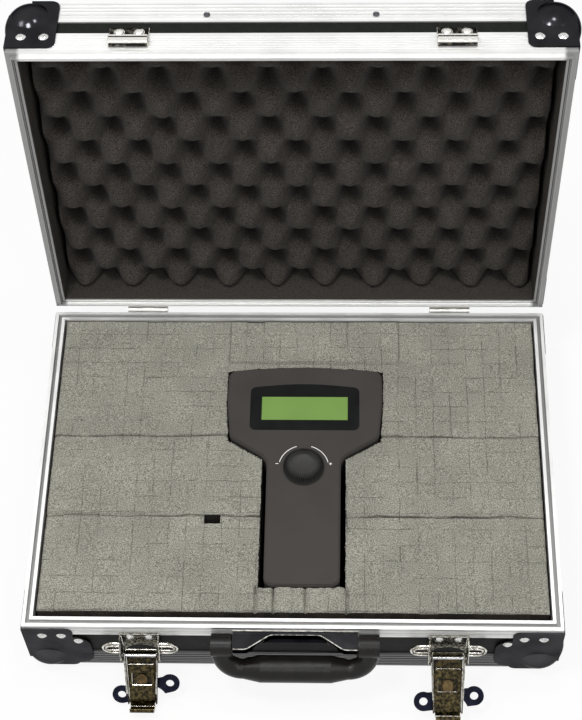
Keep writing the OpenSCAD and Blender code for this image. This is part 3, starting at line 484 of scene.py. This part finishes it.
def foam(name, color, speckle, cell=1100.0, raised=0.0006, grime=0.12, pit_shadow=None, cut_shadows=False):
    """Open-cell foam: fine dark and light cells over slow changes of shade. A pit shadow gives
    the axis and the two depths in metres between which the colour darkens, as painted shade in
    the pits. Cut shadows paint shade along the cuts and seams that score it in cubes."""
    paint, tree, shader = new_paint(name)
    shader.inputs["Roughness"].default_value = 0.95
    shader.inputs["Specular IOR Level"].default_value = 0.08
    shader.inputs["Sheen Weight"].default_value = 0.05
    cells = noise_node(tree, cell, 1.5)
    fine = blend_colors(tree, cells, scaled(color, 1 - speckle), scaled(color, 1 + speckle),
                        CELL_SPAN)
    shade = remap(tree, noise_node(tree, GRIME_NOISE, 4.0), 1 - grime, 1 + grime)
    # Painted shade: the foam darkens deeper in its pits
    if pit_shadow:
        axis, near, far = pit_shadow
        dark = remap(tree, along(tree, axis, 0), 1.0, PIT_SHADE, (near, far))
        shade = math_node(tree, "MULTIPLY", shade, dark)
    # Painted shade along the scored cuts and the seams
    if cut_shadows:
        for axis, start, shift in (("X", CUBE_COLUMN, 3), ("Y", CUBE_ROW - FRONT_Y, 9)):
            shade = darken(tree, shade, cut_shadow_mask(tree, axis, start, shift), CUT_SHADE)
        for seam in SEAMS:
            shade = darken(tree, shade, seam_shadow_mask(tree, seam), SEAM_SHADE)
    repaint(tree, shade_color(tree, fine, shade))
    roughen(tree, cells, raised)
    return paint


# --- Materials: metals -------------------------------------------------------------------

# The ball corners are one chrome, painted near-black as a reflection of dark surroundings: the
# base's copy lighter, as the floor's painted reflection, and the lid's, also on the handle
# bracket, darker
DARK_CHROME = surface("dark_chrome", (0.055, 0.055, 0.058), 0.3, metal=1.0, tint=0.25,
                      tint_scale=45, edge=0.45)
LID_CORNER = surface("lid_corner", (0.026, 0.026, 0.029), 0.15, metal=1.0, tint=0.3,
                     tint_scale=45, rough_vary=0.03, edge=0.4)
# Near-black chrome with lighter patches: painted dark and patchy reflections
CHROME = surface("chrome", (0.045, 0.042, 0.034), 0.26, metal=1.0, tint_scale=420,
                 second=(0.4, 0.38, 0.32), span=(0.42, 0.66), rough_vary=0.08, edge=0.5)
# Bright chrome: the springs' own, and the painted highlights on pressed pieces' sharp edges
BRIGHT_CHROME = surface("bright_chrome", (0.3, 0.28, 0.24), 0.2, metal=1.0, tint_scale=320,
                        second=(0.8, 0.78, 0.72), span=(0.36, 0.58))
RIVET = surface("rivet", (0.7, 0.7, 0.68), 0.2, metal=1.0, tint_scale=420,
                second=(0.34, 0.34, 0.33), span=(0.45, 0.75))
ZINC = surface("zinc", (0.5, 0.49, 0.46), 0.34, metal=1.0, tint=0.15, tint_scale=90,
               grain=1800, raised=0.00003)
STEEL = surface("steel", (0.4, 0.4, 0.4), 0.28, metal=1.0, tint=0.1, tint_scale=200)
SCREW = surface("screw", (0.12, 0.12, 0.13), 0.35, metal=1.0, tint=0.2, tint_scale=300)
TARNISH = surface("tarnish", (0.16, 0.11, 0.05), 0.42, metal=1.0, tint_scale=300,
                  second=(0.04, 0.03, 0.018), rough_vary=0.1)
# Latch arms and hook plates: near-black as a painted dark reflection, with patches of olive-brown
# tarnish
ARM_STEEL = surface("arm_steel", (0.016, 0.015, 0.014), 0.26, metal=1.0, tint_scale=330,
                    second=(0.07, 0.055, 0.024), span=(0.42, 0.66), rough_vary=0.1, edge=0.4)
HOOK_STEEL = surface("hook_steel", (0.022, 0.019, 0.013), 0.24, metal=1.0, tint_scale=420,
                     second=(0.12, 0.095, 0.042), span=(0.4, 0.68), rough_vary=0.1, edge=0.5)
KEY_STEEL = surface("key_steel", (0.012, 0.013, 0.024), 0.24, metal=0.9, tint=0.3,
                    tint_scale=130, edge=0.3)
RIM_COLOR = (0.75, 0.75, 0.74)
# Aluminium frames, with painted shade in their grooves and on the lid's left and right runs
BASE_RIM = extrusion("base_rim", RIM_COLOR, BASE_AXES, (3.4,), (71.5, 65.5))
# The base's lower frame is the same aluminium as the rims, painted darker as shade
BASE_EDGE = extrusion("base_edge", (0.12, 0.12, 0.12), BASE_AXES, (), (20, 14.5, 9, 3.5))
LID_RIM = extrusion("lid_rim", RIM_COLOR, LID_AXES, (6.3,), (), sides=0.42, depth=0.8)
LID_EDGE = extrusion("lid_edge", RIM_COLOR, LID_AXES, (), (129.5, 125.4, 121.4, 117.4),
                     sides=0.5, depth=0.22)

# Keepers: rivet heads and the painted highlight on the lip, in millimetres from each keeper's
# middle and the rim
KEEPER_SHIFT = 1.5
RIVET_X = 7.75
RIVET_Y = -2.5
RIVET_UP = 21.5
RIVET_R = 3.4
LIP_Y = -6.4
LIP_HALF = 3
LIP_SLOT_UP = 11.5
# Near-black as a painted dark reflection, with lighter patches of painted reflection
KEEPER = surface("keeper", (0.014, 0.014, 0.013), 0.24, metal=1.0, tint_scale=260,
                 second=(0.12, 0.11, 0.09), span=(0.5, 0.66), rough_vary=0.08, edge=0.4)
RIVETS = [lid_point(side * LATCH_X + KEEPER_SHIFT + dx, RIVET_Y, BASE_H + RIVET_UP)
          for side in (-1, 1) for dx in (-RIVET_X, RIVET_X)]
LIP_HIGHLIGHT = ((*LID_AXES[1], LIP_Y * MM, LIP_HALF * MM), (*LID_AXES[2], (BASE_H + LIP_SLOT_UP) * MM))
with_spots(KEEPER, (0.78, 0.77, 0.73), RIVETS, RIVET_R * MM, LIP_HIGHLIGHT)

# --- Materials: foam, cloth, laminate and plastics ---------------------------------------

# Painted shade in the lid foam's pits, between these depths
PIT_TOP = BASE_H + 24
PIT_FLOOR = BASE_H + 39
PIT_SHADOW = (tuple(LID_IN), LID_ZERO + PIT_TOP * MM, LID_ZERO + PIT_FLOOR * MM)
LAMINATE = surface("laminate", (0.009, 0.01, 0.009), 0.55, tint=0.3, tint_scale=260,
                   grain=1400, raised=0.00012, ior=1.16)
GRIP_PLASTIC = surface("grip_plastic", (0.009, 0.008, 0.0075), 0.3, tint=0.2,
                       tint_scale=70, grain=1500, raised=0.00008, ior=1.3)
# The grey foam gets painted shade along its cuts and seams
GREY_FOAM = foam("grey_foam", (0.262, 0.254, 0.217), 0.52, cell=1250, cut_shadows=True)
DARK_FOAM = foam("dark_foam", (0.047, 0.041, 0.036), 0.62, cell=1250, pit_shadow=PIT_SHADOW)
PAD_FOAM = foam("pad_foam", (0.035, 0.028, 0.022), 0.4)
LINING = surface("lining", (0.045, 0.04, 0.035), 0.85, tint=0.4, tint_scale=700,
                 grain=3000, raised=0.0003, specular=0.1)
SHELL = surface("tester_shell", (0.049, 0.044, 0.041), 0.5, tint=0.06, tint_scale=40,
                grain=4200, raised=0.00005, specular=0.15)
GLOSS = surface("gloss_black", (0.011, 0.012, 0.0115), 0.16, specular=0.3, rough_vary=0.03)
LCD = surface("display", (0.15, 0.262, 0.065), 0.3, tint_scale=12,
              second=(0.19, 0.31, 0.084), rough_vary=0.03, specular=0.1)
MODULE = surface("module", (0.18, 0.19, 0.18), 0.6)
BOARD = surface("board", (0.02, 0.16, 0.05), 0.4, tint=0.15)
KNOB = surface("knob_black", (0.012, 0.012, 0.012), 0.42, tint=0.2, tint_scale=160,
               grain=2600, raised=0.00006, specular=0.3)
FLUTES_FROM = 8.5
FLUTES_TO = 17.6
# Painted highlight and shade on the knob's flutes
with_flute_shading(KNOB, case_point(TESTER[0], TESTER[1] + KNOB_Y, 0), FLUTES_FROM * MM,
            FLUTES_TO * MM, (0.034, 0.033, 0.032), (0.003, 0.003, 0.003))
BATTERY = surface("battery", (0.08, 0.08, 0.09), 0.35, metal=0.6)
CONNECTOR = surface("connector", (0.016, 0.016, 0.017), 0.42, tint=0.15, grain=1600,
                    raised=0.00005)
WHITE_PRINT = surface("white_print", (0.75, 0.75, 0.74), 0.5, tint=0.05)

# --- Which material each slot and node of the frame gets ---------------------------------

LOOKS = {
    "laminate": LAMINATE,
    "dark_chrome": DARK_CHROME,
    "chrome": CHROME,
    "rivet": RIVET,
    "zinc": ZINC,
    "steel": STEEL,
    "screw": SCREW,
    "tarnish": TARNISH,
    "key_steel": KEY_STEEL,
    "black_plastic": GRIP_PLASTIC,
    "grey_foam": GREY_FOAM,
    "dark_foam": DARK_FOAM,
    "pad_foam": PAD_FOAM,
    "lining": LINING,
    "tester_shell": SHELL,
    "tester_rear": SHELL,
    "gloss_black": GLOSS,
    "display": LCD,
    "module": MODULE,
    "board": BOARD,
    "knob_black": KNOB,
    "battery": BATTERY,
    "connector": CONNECTOR,
}
NODE_LOOKS = {
    "left_latch_arm": ARM_STEEL,
    "right_latch_arm": ARM_STEEL,
    "left_hook_plate": HOOK_STEEL,
    "right_hook_plate": HOOK_STEEL,
    "handle_bracket": LID_CORNER,
    "latch_springs": BRIGHT_CHROME,
    "keepers": KEEPER,
    "base_rim_extrusions": BASE_RIM,
    "base_edge_extrusions": BASE_EDGE,
    "lid_rim_extrusions": LID_RIM,
    "lid_edge_extrusions": LID_EDGE,
    "lid_ball_corners": LID_CORNER,
}
# Painted highlights on sharp edges: width in millimetres of the bevel on each pressed piece
BRIGHT_EDGES = {
    "left_latch_arm": 0.45,
    "right_latch_arm": 0.45,
    "left_hook_plate": 0.35,
    "right_hook_plate": 0.35,
    "latch_brackets": 0.4,
    "keepers": 0.4,
    "handle_bracket": 0.5,
}
WELD_GAP = 0.002
SHARP_EDGE = 40


def brighten_edges(node, width):
    """Bevels a node's sharp edges in bright chrome, as painted highlights, once its triangles are
    joined.
    """
    node.data.materials.append(BRIGHT_CHROME)
    weld = node.modifiers.new("weld", "WELD")
    weld.merge_threshold = WELD_GAP * MM
    edge = node.modifiers.new("edge_highlights", "BEVEL")
    edge.width = width * MM
    edge.limit_method = "ANGLE"
    edge.angle_limit = math.radians(SHARP_EDGE)
    edge.segments = 1
    edge.use_clamp_overlap = False
    edge.material = len(node.material_slots) - 1


def dress_nodes():
    slots = {s["node"]: s["material_slot"] for s in frame["record"]["subparts"]}
    for name, node in frame["nodes"].items():
        look = NODE_LOOKS.get(name) or LOOKS[slots[name]]
        if not node.material_slots:
            node.data.materials.append(look)
        for entry in node.material_slots:
            entry.link = "OBJECT"
            entry.material = look
        if name in BRIGHT_EDGES:
            brighten_edges(node, BRIGHT_EDGES[name])


dress_nodes()

# --- Mesh helpers ------------------------------------------------------------------------


def add_piece(name, mesh, look, body, smooth):
    """An object of a mesh in the frame's metres, riding on a body."""
    mesh.materials.append(look)
    mesh.polygons.foreach_set("use_smooth", [smooth] * len(mesh.polygons))
    mesh.update()
    piece = bpy.data.objects.new(name, mesh)
    bpy.context.collection.objects.link(piece)
    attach(piece, body)
    return piece


def make_piece(name, verts, faces, look, body, smooth=False):
    """A piece of vertices and faces."""
    mesh = bpy.data.meshes.new(name)
    mesh.from_pydata([tuple(v) for v in verts], [], faces)
    return add_piece(name, mesh, look, body, smooth)


def finish_shape(name, shape, look, body, smooth=False):
    """A piece of a bmesh, which is used up."""
    bmesh.ops.recalc_face_normals(shape, faces=shape.faces)
    mesh = bpy.data.meshes.new(name)
    shape.to_mesh(mesh)
    shape.free()
    return add_piece(name, mesh, look, body, smooth)


def join_rings(shape, low, high):
    """Side faces between two rings of vertices of a bmesh."""
    for k in range(len(low)):
        after = (k + 1) % len(low)
        shape.faces.new((low[k], low[after], high[after], high[k]))


def closed_field(columns, rows, top, bottom):
    """Vertices and faces of a block whose upper face is the field top(i, j) and whose
    lower face is bottom(i, j)."""
    verts = [field(i, j) for field in (top, bottom) for j in range(rows) for i in range(columns)]
    lower = columns * rows
    faces = []
    for j in range(rows - 1):
        for i in range(columns - 1):
            a = j * columns + i
            faces.append((a, a + 1, a + columns + 1, a + columns))
            faces.append((lower + a + columns, lower + a + columns + 1, lower + a + 1, lower + a))
    edge = [(0, i) for i in range(columns)]
    edge += [(j, columns - 1) for j in range(1, rows)]
    edge += [(rows - 1, i) for i in range(columns - 2, -1, -1)]
    edge += [(j, 0) for j in range(rows - 2, 0, -1)]
    ring = [j * columns + i for j, i in edge]
    for a, b in zip(ring, ring[1:] + ring[:1]):
        faces.append((lower + a, lower + b, b, a))
    return verts, faces


def drift(kind, x, y, seed):
    """Smooth noise over a plane. kind is its reach and the length of its features."""
    reach, length = kind
    return reach * noise.noise(Vector((x / length, y / length, seed)))


def line_drift(kind, run, row, seed):
    """Smooth noise along a line, with another course for each row."""
    reach, length = kind
    return reach * noise.noise(Vector((run / length, row, seed)))


# --- Lid foam: convoluted block with staggered peaks, and the cloth lining ----------------

PEAK_X = 43.6
PEAK_Y = 27.3
PEAK_COLUMN_X = 2.2
PEAK_ROW_Y = 50.9
PEAK_TIP = BASE_H + 12.6
PEAK_VALLEY = BASE_H + 37.5
# Power that rounds the tips, share of the full height that they reach, and the reach and
# length of their unevenness and of how they lean aside
PEAK_DOME = 1.15
PEAK_RISE = 0.95
PEAK_UNEVEN = (0.07, 31)
PEAK_SLUMP = (1.6, 14)
LID_FOAM_BACK = BASE_H + LID_H - WALL_IN - 1.35
LID_FOAM_X = 206.8
LID_FOAM_Y = (15.2, 295.8)
LINING_GAP = 0.15
LINING_T = 0.5
LINING_BACK_T = 0.9
LINING_LOW = BASE_H + 1.4
PIECE_GAP = 0.1


def peak_height(x, y):
    """0 in the pits and nearly 1 on the domed tips, as convoluted foam is cut."""
    wave = math.cos(2 * math.pi * (x - PEAK_COLUMN_X) / PEAK_X)
    wave *= math.cos(math.pi * (y - PEAK_ROW_Y) / PEAK_Y)
    height = 1 - ((1 - wave) / 2) ** PEAK_DOME
    return height * (PEAK_RISE + drift(PEAK_UNEVEN, x, y, 0))


def add_lid_foam():
    columns, rows = 260, 180
    step_x = 2 * LID_FOAM_X / (columns - 1)
    step_y = (LID_FOAM_Y[1] - LID_FOAM_Y[0]) / (rows - 1)

    def top(i, j):
        x, y = -LID_FOAM_X + i * step_x, LID_FOAM_Y[0] + j * step_y
        slump = drift(PEAK_SLUMP, x, y, 4)
        rise = peak_height(x + slump, y + slump) * (PEAK_VALLEY - PEAK_TIP)
        return lid_point(x, y, PEAK_VALLEY - rise)

    def bottom(i, j):
        return lid_point(-LID_FOAM_X + i * step_x, LID_FOAM_Y[0] + j * step_y, LID_FOAM_BACK)

    verts, faces = closed_field(columns, rows, top, bottom)
    piece = make_piece("egg_crate_foam", verts, faces, DARK_FOAM, "lid", smooth=True)
    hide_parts("lid_foam")


BOX_FACES = ((0, 2, 3, 1), (4, 5, 7, 6), (0, 1, 5, 4), (1, 3, 7, 5), (3, 2, 6, 7), (2, 0, 4, 6))


def add_slab(shape, low, high):
    """Adds a box of the lid to a bmesh, between two corners of the closed lid."""
    corners = [shape.verts.new(lid_point(x, y, z)) for z in (low[2], high[2])
               for y in (low[1], high[1]) for x in (low[0], high[0])]
    for face in BOX_FACES:
        shape.faces.new([corners[k] for k in face])


def add_lid_lining():
    """Cloth on the lid's back and walls, inside its rim."""
    near = RIM_W + LINING_GAP
    half, far = CASE_W / 2 - near, CASE_D - near
    back = BASE_H + LID_H - WALL_IN - PIECE_GAP
    wall_top = back - LINING_BACK_T - PIECE_GAP
    inner = half - LINING_T - PIECE_GAP
    shape = bmesh.new()
    add_slab(shape, (-half, near, back - LINING_BACK_T), (half, far, back))
    for side in (-1, 1):
        x0, x1 = sorted((side * half, side * (half - LINING_T)))
        add_slab(shape, (x0, near, LINING_LOW), (x1, far, wall_top))
    for y0 in (near, far - LINING_T):
        add_slab(shape, (-inner, y0, LINING_LOW), (inner, y0 + LINING_T, wall_top))
    piece = finish_shape("lid_cloth", shape, LINING, "lid")
    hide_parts("lid_lining")


add_lid_foam()
add_lid_lining()

# --- Case foam: block scored into cubes that pluck out -----------------------------------

FOAM_X = 209.8
FOAM_Y = (15.7, 299.8)
FOAM_PITCH = 1.25
FOAM_FLOOR = FOAM_BOTTOM + 0.3
FOAM_EDGE_RUN = 2.5
FOAM_EDGE_DROP = 1.5
FOAM_SHARP = 50
# Block that stands proud at the back: its x, its y and its rise
TALL_BLOCK = ((-60, 90), (254.8, 299.8), 2.4)
# Hole that a plucked cube leaves: its x, then its y
MISSING_CUBE = (-75.5, -63, 96.5, 103.9)
# Each cube's lift and lean, the share of cubes that have sunk and by how much, and the wave
# that all of them follow. Waves, bends and breaks are a reach and a length.
CUBE_SEED = (977, 131)
CUBE_LIFT = (-0.5, 0.15)
CUBE_LEAN = 0.04
SUNK_SHARE = 0.07
SUNK_BY = (0.4, 1.6)
CUBE_WAVE = (0.5, 60)
CUT_REACH = 0.9
CUT_DEEP = 0.9
CUT_BEND = (CUT_WANDER, 25)
CUT_MEAN = 0.35
CUT_BREAKS = (1.1, 11)
LINE_APART = 53.1
SEAM_REACH = 1.1
SEAM_DEEP = 3.2
SEAM_BEND = (0.8, 40)
# Tester's pocket: v runs from the tester's foot, u from its middle. Its edge is ragged and
# finely frayed.
TESTER_LEN = 214
POCKET_V = (-0.7, TESTER_LEN + 0.6)
HEAD_HALF = 68.6
JAW_TUCK = 2.5
JAW_RUN = 38
NECK_HALF = 36.1
NECK_TOP = 121.5
JAW = 139.5
ARCH = 5
RAGGED = (0.9, 7)
FRAYED = (0.6, 2.6)
# Foam that puffs up before the tester's foot, over slopes in u and v, and the cracks in it
FOOT_LIP = 4.5
FOOT_HALF = 38
FOOT_FROM = -18
FOOT_TO = 2
FOOT_SLOPE = (3, 14)
PUFF_MEAN = 0.75
PUFF = (0.7, 7)
PUFF_RUN = 12
FOOT_CRACKS = (-37.5, -23, 3.5, 37.5)
CRACK_DEEP = 3.5
CRACK_REACH = 1.5
CRACK_BEND = (1.2, 9)


def groove_share(off, reach):
    """1 in the middle of a groove, falling to 0 at a reach from it."""
    return max(0, 1 - off / reach)


def pocket_half(v):
    """Half width of the tester's pocket at a distance from the tester's foot."""
    if v < POCKET_V[0] or v > POCKET_V[1]:
        return None
    if v < NECK_TOP:
        half = NECK_HALF
    elif v < JAW:
        widening = (HEAD_HALF - JAW_TUCK - NECK_HALF) * (v - NECK_TOP) / (JAW - NECK_TOP)
        half = NECK_HALF + widening
    else:
        half = HEAD_HALF - JAW_TUCK * groove_share(v - JAW, JAW_RUN)
    return half + (line_drift(RAGGED, v, 0, 5) + line_drift(FRAYED, v, 0, 2))


def pocket_end(u):
    """Where the pocket ends behind the tester's arched head."""
    return POCKET_V[1] - ARCH * (u / HEAD_HALF) ** 2


def in_pocket(x, y):
    """True where the foam is cut away for the tester and the missing cube."""
    u, v = x - TESTER[0], y - TESTER[1]
    half = pocket_half(v)
    if half is not None and abs(u) < half and v < pocket_end(u):
        return True
    x0, x1, y0, y1 = MISSING_CUBE
    return x0 < x < x1 and y0 < y < y1


def to_pocket_edge(x, y):
    """Moves a point that lies just outside the pocket onto its edge."""
    u, v = x - TESTER[0], y - TESTER[1]
    half = pocket_half(v)
    if half is not None and half <= abs(u) < half + FOAM_PITCH and v < pocket_end(u):
        u = math.copysign(half, u)
    elif abs(u) < HEAD_HALF and pocket_end(u) <= v < pocket_end(u) + FOAM_PITCH:
        v = pocket_end(u)
    return u + TESTER[0], v + TESTER[1]


def cube_top(x, y):
    """Height of the cubes' tops, each with its own small lean, over a slow wave."""
    column, row = math.floor((x - CUBE_COLUMN) / CUBE), math.floor((y - CUBE_ROW) / CUBE)
    spin = random.Random(column * CUBE_SEED[0] + row * CUBE_SEED[1])
    lift = spin.uniform(*CUBE_LIFT)
    lean_x, lean_y = spin.uniform(-CUBE_LEAN, CUBE_LEAN), spin.uniform(-CUBE_LEAN, CUBE_LEAN)
    if spin.random() < SUNK_SHARE:
        lift -= spin.uniform(*SUNK_BY)
    right = (x - CUBE_COLUMN) % CUBE - CUBE / 2
    ahead = (y - CUBE_ROW) % CUBE - CUBE / 2
    return lift + lean_x * right + lean_y * ahead + drift(CUBE_WAVE, x, y, 2)


def cut_share(x, y):
    """0 on top of a cube and 1 in a scored cut beside it. Cuts fade in and out."""
    deep = 0.0
    bend = drift(CUT_BEND, x, y, 8)
    for place, start, run in ((x, CUBE_COLUMN, y), (y, CUBE_ROW, x)):
        off = abs((place - start + bend + CUBE / 2) % CUBE - CUBE / 2)
        line = math.floor((place - start) / CUBE + 0.5)
        shows = CUT_MEAN + line_drift(CUT_BREAKS, run, line * LINE_APART + start, 3)
        deep = max(deep, groove_share(off, CUT_REACH) * max(0.0, min(1.0, shows)))
    return deep


def foam_height(x, y):
    """Height of the foam's top: cubes, cuts, seams, tall block, foot lip and its cracks."""
    z = FOAM_TOP + cube_top(x, y) - CUT_DEEP * cut_share(x, y)
    (x0, x1), (y0, y1), rise = TALL_BLOCK
    if x0 < x < x1 and y0 < y < y1:
        z += rise
    for seam in SEAMS:
        off = abs(y - seam + line_drift(SEAM_BEND, x, seam, 1))
        z -= SEAM_DEEP * groove_share(off, SEAM_REACH)
    u, v = x - TESTER[0], y - TESTER[1]
    if abs(u) < FOOT_HALF and FOOT_FROM < v < FOOT_TO:
        puff = PUFF_MEAN + line_drift(PUFF, x, v / PUFF_RUN, 1)
        rise = min(1, (v - FOOT_FROM) / FOOT_SLOPE[1])
        z += FOOT_LIP * puff * rise * min(1, (FOOT_HALF - abs(u)) / FOOT_SLOPE[0])
    if v < FOOT_TO:
        for crack in FOOT_CRACKS:
            off = abs(u - crack - line_drift(CRACK_BEND, v, crack, 6))
            z -= CRACK_DEEP * groove_share(off, CRACK_REACH)
    inside = min(x + FOAM_X, FOAM_X - x, y - FOAM_Y[0])
    return z - FOAM_EDGE_DROP * groove_share(inside, FOAM_EDGE_RUN) ** 2


def foam_top(shape):
    """The block's upper face in a bmesh, with the pocket and the missing cube left out."""
    columns = int(2 * FOAM_X / FOAM_PITCH) + 1
    rows = int((FOAM_Y[1] - FOAM_Y[0]) / FOAM_PITCH) + 1
    step_x = 2 * FOAM_X / (columns - 1)
    step_y = (FOAM_Y[1] - FOAM_Y[0]) / (rows - 1)
    grid = {}
    for j in range(rows):
        for i in range(columns):
            x, y = -FOAM_X + i * step_x, FOAM_Y[0] + j * step_y
            if not in_pocket(x, y):
                x, y = to_pocket_edge(x, y)
                grid[i, j] = shape.verts.new(case_point(x, y, foam_height(x, y)))
    for i, j in grid:
        corners = [grid.get(key) for key in ((i, j), (i + 1, j), (i + 1, j + 1), (i, j + 1))]
        if all(corners):
            shape.faces.new(corners)
    loose = [v for v in shape.verts if not v.link_faces]
    bmesh.ops.delete(shape, geom=loose, context="VERTS")


def foam_walls(shape):
    """Walls of the block and its openings, in a second material, and its underside. The walls'
    dark pad foam is painted shade, and partly the old foam's own brown.
    """
    rim = [e for e in shape.edges if e.is_boundary]
    sides = bmesh.ops.extrude_edge_only(shape, edges=rim)["geom"]
    floor_z = case_point(0, 0, FOAM_FLOOR).z
    for part in sides:
        if isinstance(part, bmesh.types.BMVert):
            part.co.z = floor_z
        elif isinstance(part, bmesh.types.BMFace):
            part.material_index = 1
    low_edges = [e for e in sides if isinstance(e, bmesh.types.BMEdge)]
    bmesh.ops.holes_fill(shape, edges=low_edges, sides=0)


def add_case_foam():
    shape = bmesh.new()
    foam_top(shape)
    foam_walls(shape)
    piece = finish_shape("pluck_foam_block", shape, GREY_FOAM, "base", smooth=True)
    # The walls' second material: dark pad foam as painted shade, and partly the old foam's own
    # brown
    piece.data.materials.append(PAD_FOAM)
    piece.data.set_sharp_from_angle(angle=math.radians(FOAM_SHARP))
    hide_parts("pluck_foam")


PAD_GAP = 0.4
PAD_TOP = FOAM_BOTTOM - 0.5
PAD_WAVE = (0.3, 4)


def add_base_pad():
    """Foam sheet under the scored block, with an uneven upper face."""
    columns, rows = 70, 50
    half, near = CASE_W / 2 - WALL_IN - PAD_GAP, WALL_IN + PAD_GAP
    far = CASE_D - near

    def spot(i, j, z):
        return case_point(-half + 2 * half * i / (columns - 1),
                          near + (far - near) * j / (rows - 1), z)

    def top(i, j):
        return spot(i, j, PAD_TOP + drift(PAD_WAVE, i, j, 7))

    def bottom(i, j):
        return spot(i, j, WALL_IN + PIECE_GAP)

    verts, faces = closed_field(columns, rows, top, bottom)
    piece = make_piece("base_foam_sheet", verts, faces, PAD_FOAM, "base")
    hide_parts("foam_base_pad")


add_case_foam()
add_base_pad()

# --- Tester: fluted knob and the dial printed round it ------------------------------------

# Radius, height over the tester's face and depth of the flutes there, from skirt to cap
KNOB_PROFILE = [(17.2, 0.4, 0.0), (17.6, 0.9, 0.1), (17.2, 1.8, 1.0), (16.2, 4.2, 1.3),
                (15.0, 6.2, 1.3), (14.0, 6.9, 1.2), (12.4, 7.15, 1.0), (10.6, 7.2, 0.8),
                (9.4, 7.3, 0.2), (8.8, 7.3, 0.0), (7.0, 7.05, 0.0), (4.0, 6.85, 0.0),
                (1.5, 6.8, 0.0)]
STEPS_A_FLUTE = 6
FLUTE_POWER = 1.3
FLUTE_OUT = 0.7
FLUTE_UP = 0.6
KNOB_SHARP = 50
DIAL_R = 21.4
DIAL_ARCS = ((107, 166), (14, 73))
ARC_STEPS = 24
ARC_HALF = 0.34
SIGN_AT = (22.9, KNOB_Y + 3.6)
SIGN_ARM = 1.3
SIGN_GAP = 0.36
SIGN_HALF = 0.32
PRINT_LOW = 0.01
PRINT_T = 0.12


def face_point(u, v, rise):
    """A point over the tester's face: u to the right of its middle, v from its foot."""
    return case_point(TESTER[0] + u, TESTER[1] + v, FACE_Z + rise)


def round_knob(radius, turn):
    """u and v of a point round the knob's axis."""
    return radius * math.cos(turn), KNOB_Y + radius * math.sin(turn)


def add_knob():
    steps = FLUTES * STEPS_A_FLUTE
    shape = bmesh.new()
    rings = []
    for radius, z, depth in KNOB_PROFILE:
        ring = []
        for k in range(steps):
            turn = 2 * math.pi * k / steps
            wave = 0.5 + 0.5 * math.cos(FLUTES * turn)
            swell = depth * wave ** FLUTE_POWER - depth * 0.5
            u, v = round_knob(radius + swell * FLUTE_OUT, turn)
            ring.append(shape.verts.new(face_point(u, v, z + swell * FLUTE_UP)))
        rings.append(ring)
    for low, high in zip(rings, rings[1:]):
        join_rings(shape, low, high)
    shape.faces.new(rings[0][::-1])
    shape.faces.new(rings[-1])
    piece = finish_shape("fluted_knob", shape, KNOB, "knob", smooth=True)
    piece.data.set_sharp_from_angle(angle=math.radians(KNOB_SHARP))
    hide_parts("tester_knob")


def add_ribbon(shape, points, half):
    """A flat raised line through points of the tester's face."""
    section = ((1, PRINT_LOW), (1, PRINT_T), (-1, PRINT_T), (-1, PRINT_LOW))
    rings = []
    for k, (u, v) in enumerate(points):
        u0, v0 = points[max(k - 1, 0)]
        u1, v1 = points[min(k + 1, len(points) - 1)]
        run = math.hypot(u1 - u0, v1 - v0)
        across = (-(v1 - v0) / run * half, (u1 - u0) / run * half)
        rings.append([shape.verts.new(face_point(u + s * across[0], v + s * across[1], rise))
                      for s, rise in section])
    for one, two in zip(rings, rings[1:]):
        join_rings(shape, one, two)
    shape.faces.new(rings[0])
    shape.faces.new(rings[-1][::-1])


def add_dial():
    """Two arcs round the knob, with a minus on their left and a plus on their right."""
    shape = bmesh.new()
    for first, last in DIAL_ARCS:
        turns = [math.radians(first + (last - first) * k / ARC_STEPS)
                 for k in range(ARC_STEPS + 1)]
        add_ribbon(shape, [round_knob(DIAL_R, turn) for turn in turns], ARC_HALF)
    v = SIGN_AT[1]
    for u in (-SIGN_AT[0], SIGN_AT[0]):
        add_ribbon(shape, [(u - SIGN_ARM, v), (u + SIGN_ARM, v)], SIGN_HALF)
        if u > 0:
            add_ribbon(shape, [(u, v - SIGN_ARM), (u, v - SIGN_GAP)], SIGN_HALF)
            add_ribbon(shape, [(u, v + SIGN_GAP), (u, v + SIGN_ARM)], SIGN_HALF)
    finish_shape("dial_print", shape, WHITE_PRINT, "tester")


add_knob()
add_dial()
